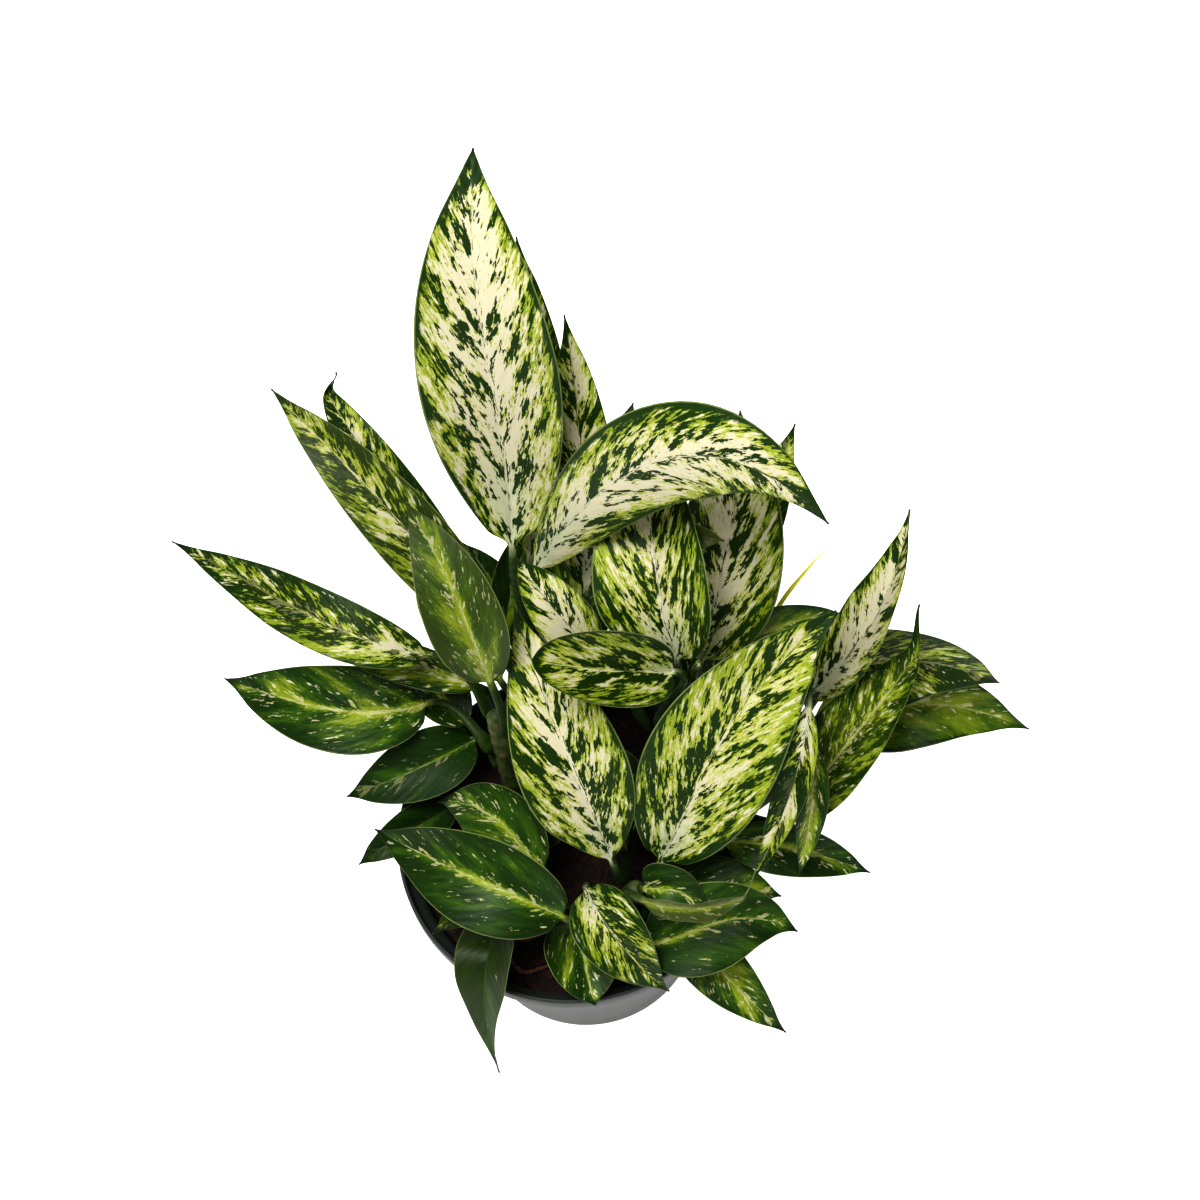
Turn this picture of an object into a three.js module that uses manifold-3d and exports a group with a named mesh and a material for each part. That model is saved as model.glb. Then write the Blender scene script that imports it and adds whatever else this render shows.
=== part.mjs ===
// A potted dieffenbachia: a nursery pot, its root ball, six canes and the leaves they carry.
// Millimetres, +Z up, the floor at z = 0 under the middle of the pot, the front towards -Y.
import * as THREE from "three";
import { mergeVertices } from "three/addons/utils/BufferGeometryUtils.js";
import Module from "manifold-3d";

const wasm = await Module();
wasm.setup();

// Pot
const POT_HEIGHT = 130;
const RIM_RADIUS = 85;
const RIM_BAND = 9;
const SHOULDER_RADIUS = 79;
const BASE_RADIUS = 59;
const WALL = 1.6;
const FLOOR = 2.4;
const DRAIN_HOLES = 5;
const DRAIN_RADIUS = 4.5;
const DRAIN_CIRCLE = 42;

// Root ball
const SOIL_TOP = 112;
const SOIL_CROWN = 2;
const GAP = 0.3; // left between pieces that touch

// Canes
const CANE_FOOT = 90; // height of the buried end
const CANE_SIDES = 10;
const CANE_STEPS = 8;
const SCAR = 0.4; // how far a leaf scar stands out from the cane

// Leaf stalks and blades
const STALK_FOOT = 2.6; // radius where the stalk leaves the cane
const STALK_CLEAR = 0.2; // from the cane's round to the stalk's
const STALK_END = 1.7; // radius where the blade begins
const STALK_STEPS = 4;
const STALK_LEAN = 0.6;
const STALK_REACH = 0.4; // of its length, how far each end of the stalk runs straight
const BLADE_STATIONS = [0, 0.08, 0.2, 0.34, 0.5, 0.66, 0.82, 0.93, 1];
const ACROSS = [-1, -0.5, 0, 0.5, 1, 0.5, 0, -0.5]; // over the top and back underneath
const RIB_THICKNESS = 1;
const EDGE_THICKNESS = 0.45;
const TOP_SKIN = 0.25;
const TIP_HALF_WIDTH = 0.5;

// Each cane: three points of a curve from the soil up, and its radius at the soil and at the top.
const CANES = {
  back: { points: [[-6, 50, 112], [-7, 53, 174], [-6, 57, 216]], radii: [6, 4.5] },
  centre: { points: [[35, 20, 112], [42, 19, 161], [53, 17, 216]], radii: [6, 4.5] },
  left: { points: [[-26, 28, 112], [-27, 29, 155], [-28, 30, 200]], radii: [6, 4.5] },
  right: { points: [[58, -8, 112], [66, -9, 142], [79, -8, 174]], radii: [5.5, 4.5] },
  front: { points: [[20, -34, 112], [23, -37, 129], [27, -41, 151]], radii: [5.5, 4.5] },
  front_left: { points: [[-32, -24, 112], [-31, -29, 129], [-26, -37, 148]], radii: [5.5, 4.5] },
};

// Each leaf: where its stalk leaves the cane (share of the height, and direction in degrees),
// four points along the blade's midrib, the blade's full width, and how its section is bent.
// face is the way the upper side looks, fold and cup are degrees of the V and of the curl.
const PLAIN_LEAF = { face: [0, -1, 2], fold: 12, cup: 12, widest: 0.4, base: 0.7, tip: 1.15, wave: 0 };
const LEAVES = {
  back: [
    { at: 0.9, side: 105, rib: [[-11, 82, 260], [-9, 104, 325], [-10, 125, 382], [-5, 168, 421]],
      width: 60, tone: "cream", fold: 8, cup: 14, widest: 0.47, tip: 1.05 },
    { at: 0.8, side: 90, rib: [[-5, 96, 226], [2, 128, 268], [5, 162, 304], [6, 194, 336]],
      width: 38, tone: "cream", fold: 10, cup: 10 },
    { at: 0.85, side: 30, rib: [[19, 72, 234], [22, 91, 281], [24, 113, 317], [23, 141, 346]],
      width: 30, tone: "cream", fold: 10, cup: 10, wave: 2 },
    { at: 0.7, side: 30, rib: [[25, 74, 221], [34, 91, 252], [41, 112, 276], [49, 133, 289]],
      width: 31, tone: "cream" },
    { at: 0.97, side: 0, rib: [[-3, 71, 257], [33, 57, 342], [72, 42, 379], [114, 19, 359]],
      width: 44, tone: "cream", face: [-1, -1, 0], fold: -5, cup: -12, widest: 0.54 },
    { at: 0.6, side: 135, rib: [[-22, 72, 195], [-16, 90, 208], [-8, 109, 213], [4, 128, 213]],
      width: 21, tone: "green", fold: 15, cup: 15 },
    { at: 0.5, side: 110, rib: [[-15, 79, 180], [-21, 96, 191], [-28, 108, 200], [-39, 126, 200]],
      width: 21, tone: "green" },
    { at: 0.65, side: -40, rib: [[19, 37, 241], [11, 40, 259], [1, 51, 272], [-9, 73, 267]],
      width: 27, tone: "cream", fold: 15, cup: 15 },
    { at: 0.68, side: 165, rib: [[-27, 74, 213], [-53, 105, 247], [-75, 138, 271], [-91, 170, 284]],
      width: 27, tone: "mixed" },
    { at: 0.45, side: 45, rib: [[8, 68, 178], [14, 88, 192], [19, 110, 194], [26, 140, 179]],
      width: 43, tone: "green", face: [0, 0, 1] },
    { at: 0.3, side: 145, rib: [[-27, 68, 161], [-39, 88, 174], [-51, 110, 174], [-65, 137, 159]],
      width: 37, tone: "green", face: [0, 0, 1] },
    { at: 0.15, side: 80, rib: [[-2, 73, 141], [-6, 89, 154], [-10, 109, 151], [-14, 135, 135]],
      width: 32, tone: "green", face: [0, 0, 1] },
  ],
  centre: [
    { at: 0.9, side: 100, rib: [[55, 25, 247], [50, 39, 282], [50, 66, 300], [57, 98, 310]],
      width: 54, tone: "cream", face: [-1, -2, 3], fold: 15 },
    { at: 0.85, side: 45, rib: [[66, 33, 228], [76, 49, 262], [86, 71, 296], [92, 103, 318]],
      width: 52, tone: "cream", fold: 10, cup: 10 },
    { at: 0.7, side: 60, rib: [[80, 64, 221], [93, 74, 255], [105, 88, 281], [116, 104, 302]],
      width: 23, tone: "cream" },
    { at: 0.75, side: 160, rib: [[57, 58, 292], [64, 56, 298], [71, 54, 300], [79, 52, 299]],
      width: 12, tone: "mixed" },
    { at: 0.5, side: 35, rib: [[96, 48, 213], [104, 55, 232], [114, 61, 245], [127, 69, 255]],
      width: 5.5, tone: "mixed", fold: 40, cup: 60 },
    { at: 0.93, side: 20, rib: [[63, 12, 268], [67, 10, 286], [70, 9, 302], [75, 10, 315]],
      width: 4.7, tone: "mixed", fold: 40, cup: 60 },
    { at: 0.97, side: 210, rib: [[53, 16, 255], [38, 13, 265], [17, 9, 281], [-5, 8, 296]],
      width: 41, tone: "cream", fold: 30, cup: 20, widest: 0.58, tip: 0.42 },
    { at: 0.4, side: 85, rib: [[61, 37, 180], [69, 66, 201], [76, 100, 202], [84, 140, 184]],
      width: 43, tone: "green", face: [0, 0, 1], base: 0.5 },
    { at: 0.2, side: 25, rib: [[62, 29, 156], [83, 40, 169], [105, 54, 169], [129, 75, 156]],
      width: 35, tone: "green", face: [0, 0, 1] },
  ],
  left: [
    { at: 0.9, side: 50, rib: [[-21, 40, 246], [-45, 68, 285], [-74, 99, 312], [-104, 135, 325]],
      width: 32, tone: "mixed" },
    { at: 0.97, side: -70, rib: [[-25, 18, 260], [-30, 28, 289], [-38, 49, 307], [-51, 78, 315]],
      width: 34, tone: "mixed" },
    { at: 0.85, side: 115, rib: [[-54, 53, 224], [-89, 60, 242], [-127, 88, 239], [-173, 130, 221]],
      width: 29, tone: "mixed" },
    { at: 0.6, side: 110, rib: [[-35, 51, 191], [-59, 58, 202], [-83, 68, 202], [-109, 79, 193]],
      width: 22, tone: "green", fold: 20, cup: 10 },
    { at: 0.5, side: 145, rib: [[-62, 55, 172], [-91, 50, 180], [-124, 61, 177], [-162, 86, 161]],
      width: 44, tone: "green" },
    { at: 0.3, side: 135, rib: [[-42, 43, 152], [-60, 33, 156], [-82, 26, 154], [-106, 23, 146]],
      width: 34, tone: "green" },
    { at: 0.4, side: 120, rib: [[-44, 47, 161], [-54, 58, 165], [-64, 71, 164], [-77, 87, 153]],
      width: 28, tone: "green", face: [0, 0, 1] },
  ],
  right: [
    { at: 0.85, side: 120, rib: [[72, 37, 200], [87, 40, 226], [109, 39, 245], [132, 37, 248]],
      width: 33, tone: "green" },
    { at: 0.9, side: 60, rib: [[114, 24, 200], [130, 19, 250], [143, 24, 291], [153, 45, 320]],
      width: 30, tone: "cream", face: [-2, -1, 2] },
    { at: 0.8, side: 20, rib: [[121, 26, 200], [141, 25, 224], [168, 19, 230], [198, 14, 213]],
      width: 43, tone: "mixed" },
    { at: 0.7, side: -30, rib: [[101, -19, 164], [120, -10, 200], [141, 1, 234], [162, 17, 263]],
      width: 38.5, tone: "mixed", face: [-2, -1, 2], widest: 0.36 },
    { at: 0.5, side: 10, rib: [[119, 23, 159], [149, 23, 180], [180, 20, 182], [219, 13, 161]],
      width: 43, tone: "green" },
    { at: 0.97, side: -100, rib: [[107, -8, 258], [102, -24, 242], [93, -39, 216], [78, -56, 185]],
      width: 17, tone: "mixed", face: [-1, -1, 2] },
    { at: 0.95, side: -50, rib: [[110, -12, 226], [108, -27, 215], [105, -39, 196], [100, -52, 174]],
      width: 15, tone: "mixed" },
    { at: 0.3, side: -60, rib: [[70, -25, 155], [90, -31, 162], [113, -36, 155], [136, -42, 142]],
      width: 26, tone: "green" },
  ],
  front: [
    { at: 0.95, side: 140, rib: [[18, -38, 181], [10, -22, 217], [0, 3, 247], [-12, 49, 268]],
      width: 50, tone: "cream", widest: 0.5, base: 1.0 },
    { at: 0.97, side: 40, rib: [[39, -41, 181], [57, -24, 220], [80, -4, 255], [121, 19, 289]],
      width: 59, tone: "cream", widest: 0.48, tip: 1.0 },
    { at: 0.7, side: 200, rib: [[5, -46, 172], [12, -66, 181], [22, -79, 169], [37, -89, 146]],
      width: 32, tone: "cream", widest: 0.36 },
    { at: 0.9, side: -50, rib: [[29, -66, 206], [43, -73, 210], [60, -74, 210], [78, -67, 203]],
      width: 13, tone: "green", face: [0, -2, 1] },
    { at: 0.8, side: 0, rib: [[31, -51, 178], [38, -54, 184], [47, -57, 184], [57, -62, 177]],
      width: 27, tone: "mixed" },
    { at: 0.6, side: -80, rib: [[28, -70, 155], [49, -69, 165], [72, -67, 170], [97, -72, 159]],
      width: 43, tone: "green" },
    { at: 0.4, side: -50, rib: [[40, -51, 135], [55, -72, 141], [70, -89, 133], [89, -104, 112]],
      width: 28, tone: "mixed" },
    { at: 0.3, side: 90, rib: [[24, -17, 143], [26, -1, 154], [26, 16, 155], [24, 37, 143]],
      width: 28, tone: "green", face: [0, 0, 1] },
    { at: 0.2, side: 10, rib: [[44, -36, 136], [60, -41, 144], [77, -44, 144], [94, -47, 137]],
      width: 29, tone: "green", face: [0, 0, 1] },
  ],
  front_left: [
    { at: 0.7, side: 115, rib: [[-56, 23, 125], [-70, 11, 134], [-86, -1, 142], [-103, -8, 135]],
      width: 22, tone: "green" },
    { at: 0.9, side: 45, rib: [[-14, -30, 159], [-26, -14, 161], [-41, 5, 154], [-64, 19, 137]],
      width: 35, tone: "green" },
    { at: 0.8, side: -75, rib: [[-6, -59, 174], [-30, -51, 193], [-58, -33, 190], [-89, -7, 174]],
      width: 43, tone: "green" },
    { at: 0.3, side: 180, rib: [[-47, -34, 137], [-53, -38, 141], [-59, -42, 143], [-68, -50, 146]],
      width: 16, tone: "green" },
    { at: 0.4, side: 240, rib: [[-41, -36, 138], [-42, -65, 158], [-47, -82, 141], [-46, -104, 96]],
      width: 31, tone: "green", widest: 0.34, tip: 1.4 },
    { at: 0.35, side: -35, rib: [[1, -46, 134], [0, -62, 141], [1, -78, 143], [3, -90, 140]],
      width: 38, tone: "mixed", face: [0, 0, 1], fold: 10 },
    { at: 0.6, side: 60, rib: [[-20, -10, 135], [-10, 2, 142], [-2, 15, 142], [4, 31, 135]],
      width: 28, tone: "green", face: [0, 0, 1] },
  ],
};

const POT_GREY = new THREE.MeshStandardMaterial({ color: "#4a4f49", roughness: 0.55, metalness: 0 });
const SOIL_BROWN = new THREE.MeshStandardMaterial({ color: "#3b271d", roughness: 1, metalness: 0 });
const CANE_GREEN = new THREE.MeshStandardMaterial({ color: "#6d7d45", roughness: 0.7, metalness: 0 });
const LEAF_TONES = {
  cream: new THREE.MeshStandardMaterial({ color: "#b9bf95", roughness: 0.45, metalness: 0 }),
  mixed: new THREE.MeshStandardMaterial({ color: "#6f8a50", roughness: 0.45, metalness: 0 }),
  green: new THREE.MeshStandardMaterial({ color: "#35592a", roughness: 0.45, metalness: 0 }),
};

const plant = new THREE.Group();

function addPiece(name, geometry, material) {
  const piece = new THREE.Mesh(geometry, material);
  piece.name = name;
  plant.add(piece);
}

function toSolid(geometry) {
  geometry.deleteAttribute("normal");
  geometry.deleteAttribute("uv");
  const merged = mergeVertices(geometry, 1e-4);
  const vertProperties = new Float32Array(merged.attributes.position.array);
  const triVerts = new Uint32Array(merged.index.array);
  return new wasm.Manifold(new wasm.Mesh({ numProp: 3, vertProperties, triVerts }));
}

function toGeometry(solid) {
  const mesh = solid.getMesh();
  const indexed = new THREE.BufferGeometry();
  indexed.setAttribute("position", new THREE.BufferAttribute(mesh.vertProperties, 3));
  indexed.setIndex(new THREE.BufferAttribute(mesh.triVerts, 1));
  const geometry = indexed.toNonIndexed();
  geometry.computeVertexNormals();
  return geometry;
}

const vector = (point) => new THREE.Vector3(...point);
const radians = THREE.MathUtils.degToRad;

// A profile of [radius, height] pairs turned about Z.
function turned(profile, sides) {
  const geometry = new THREE.LatheGeometry(profile.map(([r, z]) => new THREE.Vector2(r, z)), sides);
  return geometry.rotateX(Math.PI / 2);
}

// A closed skin over rings that all have the same number of points, with flat ends.
function loft(rings) {
  const corners = [];
  const count = rings[0].length;
  for (let i = 0; i + 1 < rings.length; i++) {
    for (let j = 0; j < count; j++) {
      const next = (j + 1) % count;
      corners.push(rings[i][j], rings[i][next], rings[i + 1][next]);
      corners.push(rings[i][j], rings[i + 1][next], rings[i + 1][j]);
    }
  }
  const last = rings[rings.length - 1];
  for (let j = 1; j + 1 < count; j++) {
    corners.push(rings[0][0], rings[0][j + 1], rings[0][j]);
    corners.push(last[0], last[j], last[j + 1]);
  }
  const geometry = new THREE.BufferGeometry().setFromPoints(corners);
  geometry.computeVertexNormals();
  return geometry;
}

// Pot: tapered wall, a stepped rim band and a floor with drain holes.
const rimInside = RIM_RADIUS - 2;
const bandFoot = POT_HEIGHT - RIM_BAND;
const potProfile = [
  [0, 0],
  [BASE_RADIUS - 2, 0],
  [BASE_RADIUS, 2],
  [SHOULDER_RADIUS, bandFoot - 2],
  [RIM_RADIUS - 0.6, bandFoot],
  [RIM_RADIUS, bandFoot + 0.6],
  [RIM_RADIUS, POT_HEIGHT - 0.8],
  [RIM_RADIUS - 0.8, POT_HEIGHT],
  [rimInside + 0.4, POT_HEIGHT],
  [rimInside, POT_HEIGHT - 0.6],
  [rimInside - 0.4, bandFoot + 1.5],
  [SHOULDER_RADIUS - WALL, bandFoot - 2.5],
  [BASE_RADIUS - WALL, FLOOR],
  [0, FLOOR],
];
let pot = toSolid(turned(potProfile, 64));
for (let i = 0; i < DRAIN_HOLES; i++) {
  const angle = ((i + 0.5) / DRAIN_HOLES) * 2 * Math.PI;
  const drill = new THREE.CylinderGeometry(DRAIN_RADIUS, DRAIN_RADIUS, 4 * FLOOR, 12);
  drill.rotateX(Math.PI / 2);
  drill.translate(DRAIN_CIRCLE * Math.cos(angle), DRAIN_CIRCLE * Math.sin(angle), FLOOR / 2);
  pot = pot.subtract(toSolid(drill));
}
addPiece("pot", toGeometry(pot), POT_GREY);

// Canes: a curve that runs on straight into the soil, with scars where old leaves sat.
function canePath(cane) {
  const [a, b, c] = cane.points.map(vector);
  return new THREE.QuadraticBezierCurve3(a, b, c);
}

function caneRings(cane, clearance) {
  const path = canePath(cane);
  const start = path.getTangent(0);
  const foot = path.getPoint(0);
  const rings = [];
  const addRing = (centre, along, radius) => {
    const side = new THREE.Vector3(1, 0, 0).cross(along).normalize();
    const out = side.clone().cross(along);
    const ring = [];
    for (let k = 0; k < CANE_SIDES; k++) {
      const angle = (k / CANE_SIDES) * 2 * Math.PI;
      const point = centre.clone();
      point.addScaledVector(out, Math.cos(angle) * (radius + clearance));
      point.addScaledVector(side, Math.sin(angle) * (radius + clearance));
      ring.push(point);
    }
    rings.push(ring);
  };
  foot.addScaledVector(start, (CANE_FOOT - clearance - foot.z) / start.z);
  addRing(foot, start, cane.radii[0]);
  for (let i = 0; i <= CANE_STEPS; i++) {
    const t = i / CANE_STEPS;
    const scar = i % 2 === 1 ? SCAR : 0;
    addRing(path.getPoint(t), path.getTangent(t), THREE.MathUtils.lerp(...cane.radii, t) + scar);
  }
  return rings;
}

// Root ball: fills the pot and holds the foot of every cane in its own socket.
const soilProfile = [
  [0, FLOOR + GAP],
  [BASE_RADIUS - WALL - 2 * GAP, FLOOR + GAP],
  [SHOULDER_RADIUS - WALL - 2 * GAP - 1.2, SOIL_TOP - 2],
  [SHOULDER_RADIUS - WALL - 4.5, SOIL_TOP],
  [SHOULDER_RADIUS * 0.6, SOIL_TOP + SOIL_CROWN * 0.6],
  [0, SOIL_TOP + SOIL_CROWN],
];
let soil = toSolid(turned(soilProfile, 48));
for (const cane of Object.values(CANES)) {
  soil = soil.subtract(toSolid(loft(caneRings(cane, GAP))));
}
addPiece("soil", toGeometry(soil), SOIL_BROWN);
for (const [place, cane] of Object.entries(CANES)) {
  addPiece("stem_" + place, loft(caneRings(cane, 0)), CANE_GREEN);
}

// The curve through a blade's four midrib points.
function ribPath([p0, p1, p2, p3]) {
  const mix = (a, b, c, d) =>
    new THREE.Vector3().addScaledVector(p0, a / 6).addScaledVector(p1, b / 6)
      .addScaledVector(p2, c / 6).addScaledVector(p3, d / 6);
  return new THREE.CubicBezierCurve3(p0, mix(-5, 18, -9, 2), mix(2, -9, 18, -5), p3);
}

// The stalk starts against the cane and runs out to the blade, in line with it.
function stalkPath(cane, leaf, rib) {
  const path = canePath(cane);
  const up = path.getTangent(leaf.at);
  const outward = new THREE.Vector3(Math.cos(radians(leaf.side)), Math.sin(radians(leaf.side)), 0);
  outward.addScaledVector(up, -outward.dot(up)).normalize();
  const reach = THREE.MathUtils.lerp(...cane.radii, leaf.at) + STALK_CLEAR + STALK_FOOT;
  const start = path.getPoint(leaf.at).addScaledVector(outward, reach);
  const end = rib.getPoint(0);
  const run = start.distanceTo(end) * STALK_REACH;
  const leaving = up.clone().addScaledVector(outward, STALK_LEAN).normalize();
  const lift = start.clone().addScaledVector(leaving, run);
  const landing = end.clone().addScaledVector(rib.getTangent(0), -run);
  return new THREE.CubicBezierCurve3(start, lift, landing, end);
}

// Carries an upper-side direction from one station of a path to the next without twisting it.
function carry(from, to) {
  const step = to.point.clone().sub(from.point);
  const length = step.lengthSq();
  const normal = from.normal.clone().addScaledVector(step, (-2 * step.dot(from.normal)) / length);
  const tangent = from.tangent.clone().addScaledVector(step, (-2 * step.dot(from.tangent)) / length);
  const turn = to.tangent.clone().sub(tangent);
  const amount = turn.lengthSq();
  if (amount > 1e-12) normal.addScaledVector(turn, (-2 * turn.dot(normal)) / amount);
  to.normal = normal;
}

function bladeHalfWidth(leaf, u) {
  const x = u < leaf.widest ? (leaf.widest - u) / leaf.widest : (u - leaf.widest) / (1 - leaf.widest);
  const power = u < leaf.widest ? leaf.base : leaf.tip;
  return Math.max(Math.pow(Math.max(1 - x * x, 0), power) * (leaf.width / 2), TIP_HALF_WIDTH);
}

// How far out (x) and up (y) a point across the blade lies, for a half width of 1.
function bladeSection(leaf, v) {
  const fold = radians(leaf.fold);
  const cup = radians(leaf.cup);
  const end = fold + cup * Math.abs(v);
  const x = (Math.sin(end) - Math.sin(fold)) / cup;
  const y = (Math.cos(fold) - Math.cos(end)) / cup;
  return [Math.sign(v) * x, y];
}

function underside(u, v) {
  if (v === 0) return RIB_THICKNESS * (1.6 - u);
  return EDGE_THICKNESS + (RIB_THICKNESS - EDGE_THICKNESS) * (1 - Math.abs(v));
}

function leafGeometry(cane, row) {
  const leaf = { ...PLAIN_LEAF, ...row };
  const rib = ribPath(leaf.rib.map(vector));
  const stalk = stalkPath(cane, leaf, rib);
  const stations = [];
  for (let i = 0; i < STALK_STEPS; i++) {
    const t = i / STALK_STEPS;
    const radius = THREE.MathUtils.lerp(STALK_FOOT, STALK_END, t);
    stations.push({ point: stalk.getPoint(t), tangent: stalk.getTangent(t), radius });
  }
  for (const u of BLADE_STATIONS) {
    const radius = u === 0 ? STALK_END : 0;
    stations.push({ point: rib.getPoint(u), tangent: rib.getTangent(u), radius, u });
  }
  const first = stations[STALK_STEPS];
  const facing = vector(leaf.face);
  first.normal = facing.addScaledVector(first.tangent, -facing.dot(first.tangent)).normalize();
  for (let i = STALK_STEPS; i + 1 < stations.length; i++) carry(stations[i], stations[i + 1]);
  for (let i = STALK_STEPS; i > 0; i--) carry(stations[i], stations[i - 1]);

  const rings = stations.map(({ point, tangent, normal, radius, u }) => {
    const side = tangent.clone().cross(normal);
    const place = (x, y) => point.clone().addScaledVector(side, x).addScaledVector(normal, y);
    if (radius > 0) {
      return ACROSS.map((_, k) => {
        const angle = Math.PI - (k * Math.PI) / 4;
        return place(Math.cos(angle) * radius, Math.sin(angle) * radius);
      });
    }
    const halfWidth = bladeHalfWidth(leaf, u);
    return ACROSS.map((v, k) => {
      const [x, y] = bladeSection(leaf, v);
      const phase = 4 * Math.PI * u + (v > 0 ? 0 : 2);
      const ripple = leaf.wave * Math.sin(phase) * v * v * Math.sin(Math.PI * u);
      const rim = Math.abs(v) === 1;
      const skin = rim ? 0 : k < 4 ? TOP_SKIN : -underside(u, v);
      return place(x * halfWidth, y * halfWidth + ripple + skin);
    });
  });
  return loft(rings);
}

for (const [place, rows] of Object.entries(LEAVES)) {
  rows.forEach((row, i) => {
    addPiece(`leaf_${place}_${i + 1}`, leafGeometry(CANES[place], row), LEAF_TONES[row.tone]);
  });
}

export default plant;
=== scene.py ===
# %% [markdown]
# # A potted dieffenbachia
# Six canes stand in a thin plastic nursery pot. Each carries a crown of long leaves that are
# cream in the middle and dark green at the margin. The packed model gives every piece its
# place. Better materials on it would not be enough, because its leaves are smooth and thick. So
# this lesson builds every piece again in the same place, with the shape and the skin that a
# living plant has.

# %% Load the packed model
import math
from types import SimpleNamespace
import bpy
import numpy as np
from mathutils import Matrix, Vector


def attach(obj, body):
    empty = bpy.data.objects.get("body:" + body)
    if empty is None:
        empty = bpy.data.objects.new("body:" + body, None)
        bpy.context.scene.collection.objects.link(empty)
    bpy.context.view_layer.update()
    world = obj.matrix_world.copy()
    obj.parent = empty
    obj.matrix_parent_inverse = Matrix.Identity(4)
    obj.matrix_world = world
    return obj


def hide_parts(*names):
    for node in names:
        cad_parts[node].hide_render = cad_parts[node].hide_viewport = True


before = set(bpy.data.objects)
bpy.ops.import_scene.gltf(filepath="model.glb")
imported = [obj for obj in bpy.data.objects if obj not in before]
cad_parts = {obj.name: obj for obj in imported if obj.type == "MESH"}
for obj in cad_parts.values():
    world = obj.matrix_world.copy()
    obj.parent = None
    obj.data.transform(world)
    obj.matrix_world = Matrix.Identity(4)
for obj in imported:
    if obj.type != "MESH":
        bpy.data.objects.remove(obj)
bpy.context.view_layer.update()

# %% [markdown]
# ## Camera
# The plant is seen from above and in front, from about a metre away. The view looks along +Y
# and down by 61 degrees, with a small roll about its own axis. Three Euler angles could say the
# same, but each of them turns the axes of the next, so they are hard to set one at a time. The
# camera's own three axes are worked out instead and made into one rotation.

# %% Camera
CAMERA_PLACE = (0.025, -0.336, 0.960)
LOOK_DOWN = math.radians(61)
CAMERA_ROLL = math.radians(6.2)
FIELD_OF_VIEW = math.radians(36)
SENSOR = 36

forward = Vector((0, math.cos(LOOK_DOWN), -math.sin(LOOK_DOWN)))
level_up = Vector((0, math.sin(LOOK_DOWN), math.cos(LOOK_DOWN)))
level_right = Vector((1, 0, 0))
camera_right = level_right * math.cos(CAMERA_ROLL) - level_up * math.sin(CAMERA_ROLL)
camera_up = level_right * math.sin(CAMERA_ROLL) + level_up * math.cos(CAMERA_ROLL)
camera_axes = (camera_right, camera_up, -forward)

camera_data = bpy.data.cameras.new("camera")
camera_data.sensor_width = SENSOR
camera_data.lens = SENSOR / 2 / math.tan(FIELD_OF_VIEW / 2)
camera = bpy.data.objects.new("camera", camera_data)
bpy.context.scene.collection.objects.link(camera)
camera.location = CAMERA_PLACE
camera.rotation_mode = "QUATERNION"
camera.rotation_quaternion = Matrix(camera_axes).transposed().to_quaternion()
bpy.context.scene.camera = camera
print("lens", round(camera_data.lens, 2), "mm")

# %% [markdown]
# ## Room
# The plant stands on a white sweep, as for a catalogue. The sweep could rise in a curve behind
# the pot, but the camera looks down and sees only the floor, so one plane is enough. A small
# bright lamp would draw hard shadows between the leaves. A big square one overhead gives them a
# soft sheen, and two weak lamps and white surroundings lift the shaded sides.

# %% Floor
FLOOR_SIZE = 24

bpy.ops.mesh.primitive_plane_add(size=FLOOR_SIZE, location=(0, 0, 0))
floor = bpy.context.object
floor.name = "floor"
print("floor", FLOOR_SIZE, "m across")

# %% Lamps
def add_lamp(name, place, aim, size, power):
    """A square lamp of a size in metres and a power in watts, turned towards a point."""
    data = bpy.data.lights.new(name, "AREA")
    data.size = size
    data.energy = power
    lamp = bpy.data.objects.new(name, data)
    lamp.location = place
    lamp.rotation_mode = "QUATERNION"
    lamp.rotation_quaternion = (Vector(aim) - Vector(place)).to_track_quat("-Z", "Y")
    bpy.context.scene.collection.objects.link(lamp)


add_lamp("lamp_above", place=(-0.3, -0.3, 1.9), aim=(0, 0, 0.15), size=0.7, power=33.5)
add_lamp("lamp_front", place=(0.3, -1.6, 1.2), aim=(0, 0, 0.2), size=1.0, power=3)
add_lamp("lamp_behind", place=(0.2, 1.7, 0.9), aim=(0, 0, 0.15), size=1.2, power=5)

# %% Surroundings
SURROUNDINGS_STRENGTH = 0.2

world = bpy.data.worlds.new("surroundings")
world.use_nodes = True
background = world.node_tree.nodes["Background"]
background.inputs["Color"].default_value = (1, 1, 1, 1)
background.inputs["Strength"].default_value = SURROUNDINGS_STRENGTH
bpy.context.scene.world = world
bpy.context.scene.view_settings.view_transform = "Standard"
bpy.context.scene.view_settings.look = "High Contrast"
print("surroundings at", SURROUNDINGS_STRENGTH)

# %% [markdown]
# ## Writing finishes as sums
# A finish is a chain of nodes. They could be made and linked one by one, but a leaf has more
# than a hundred, and nobody can read such a list. So one small class stands for a number that
# changes over a surface, and adding or multiplying two of them adds the Math node. Colours and
# vectors have nodes of their own, because a Math node turns a colour grey.

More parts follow.
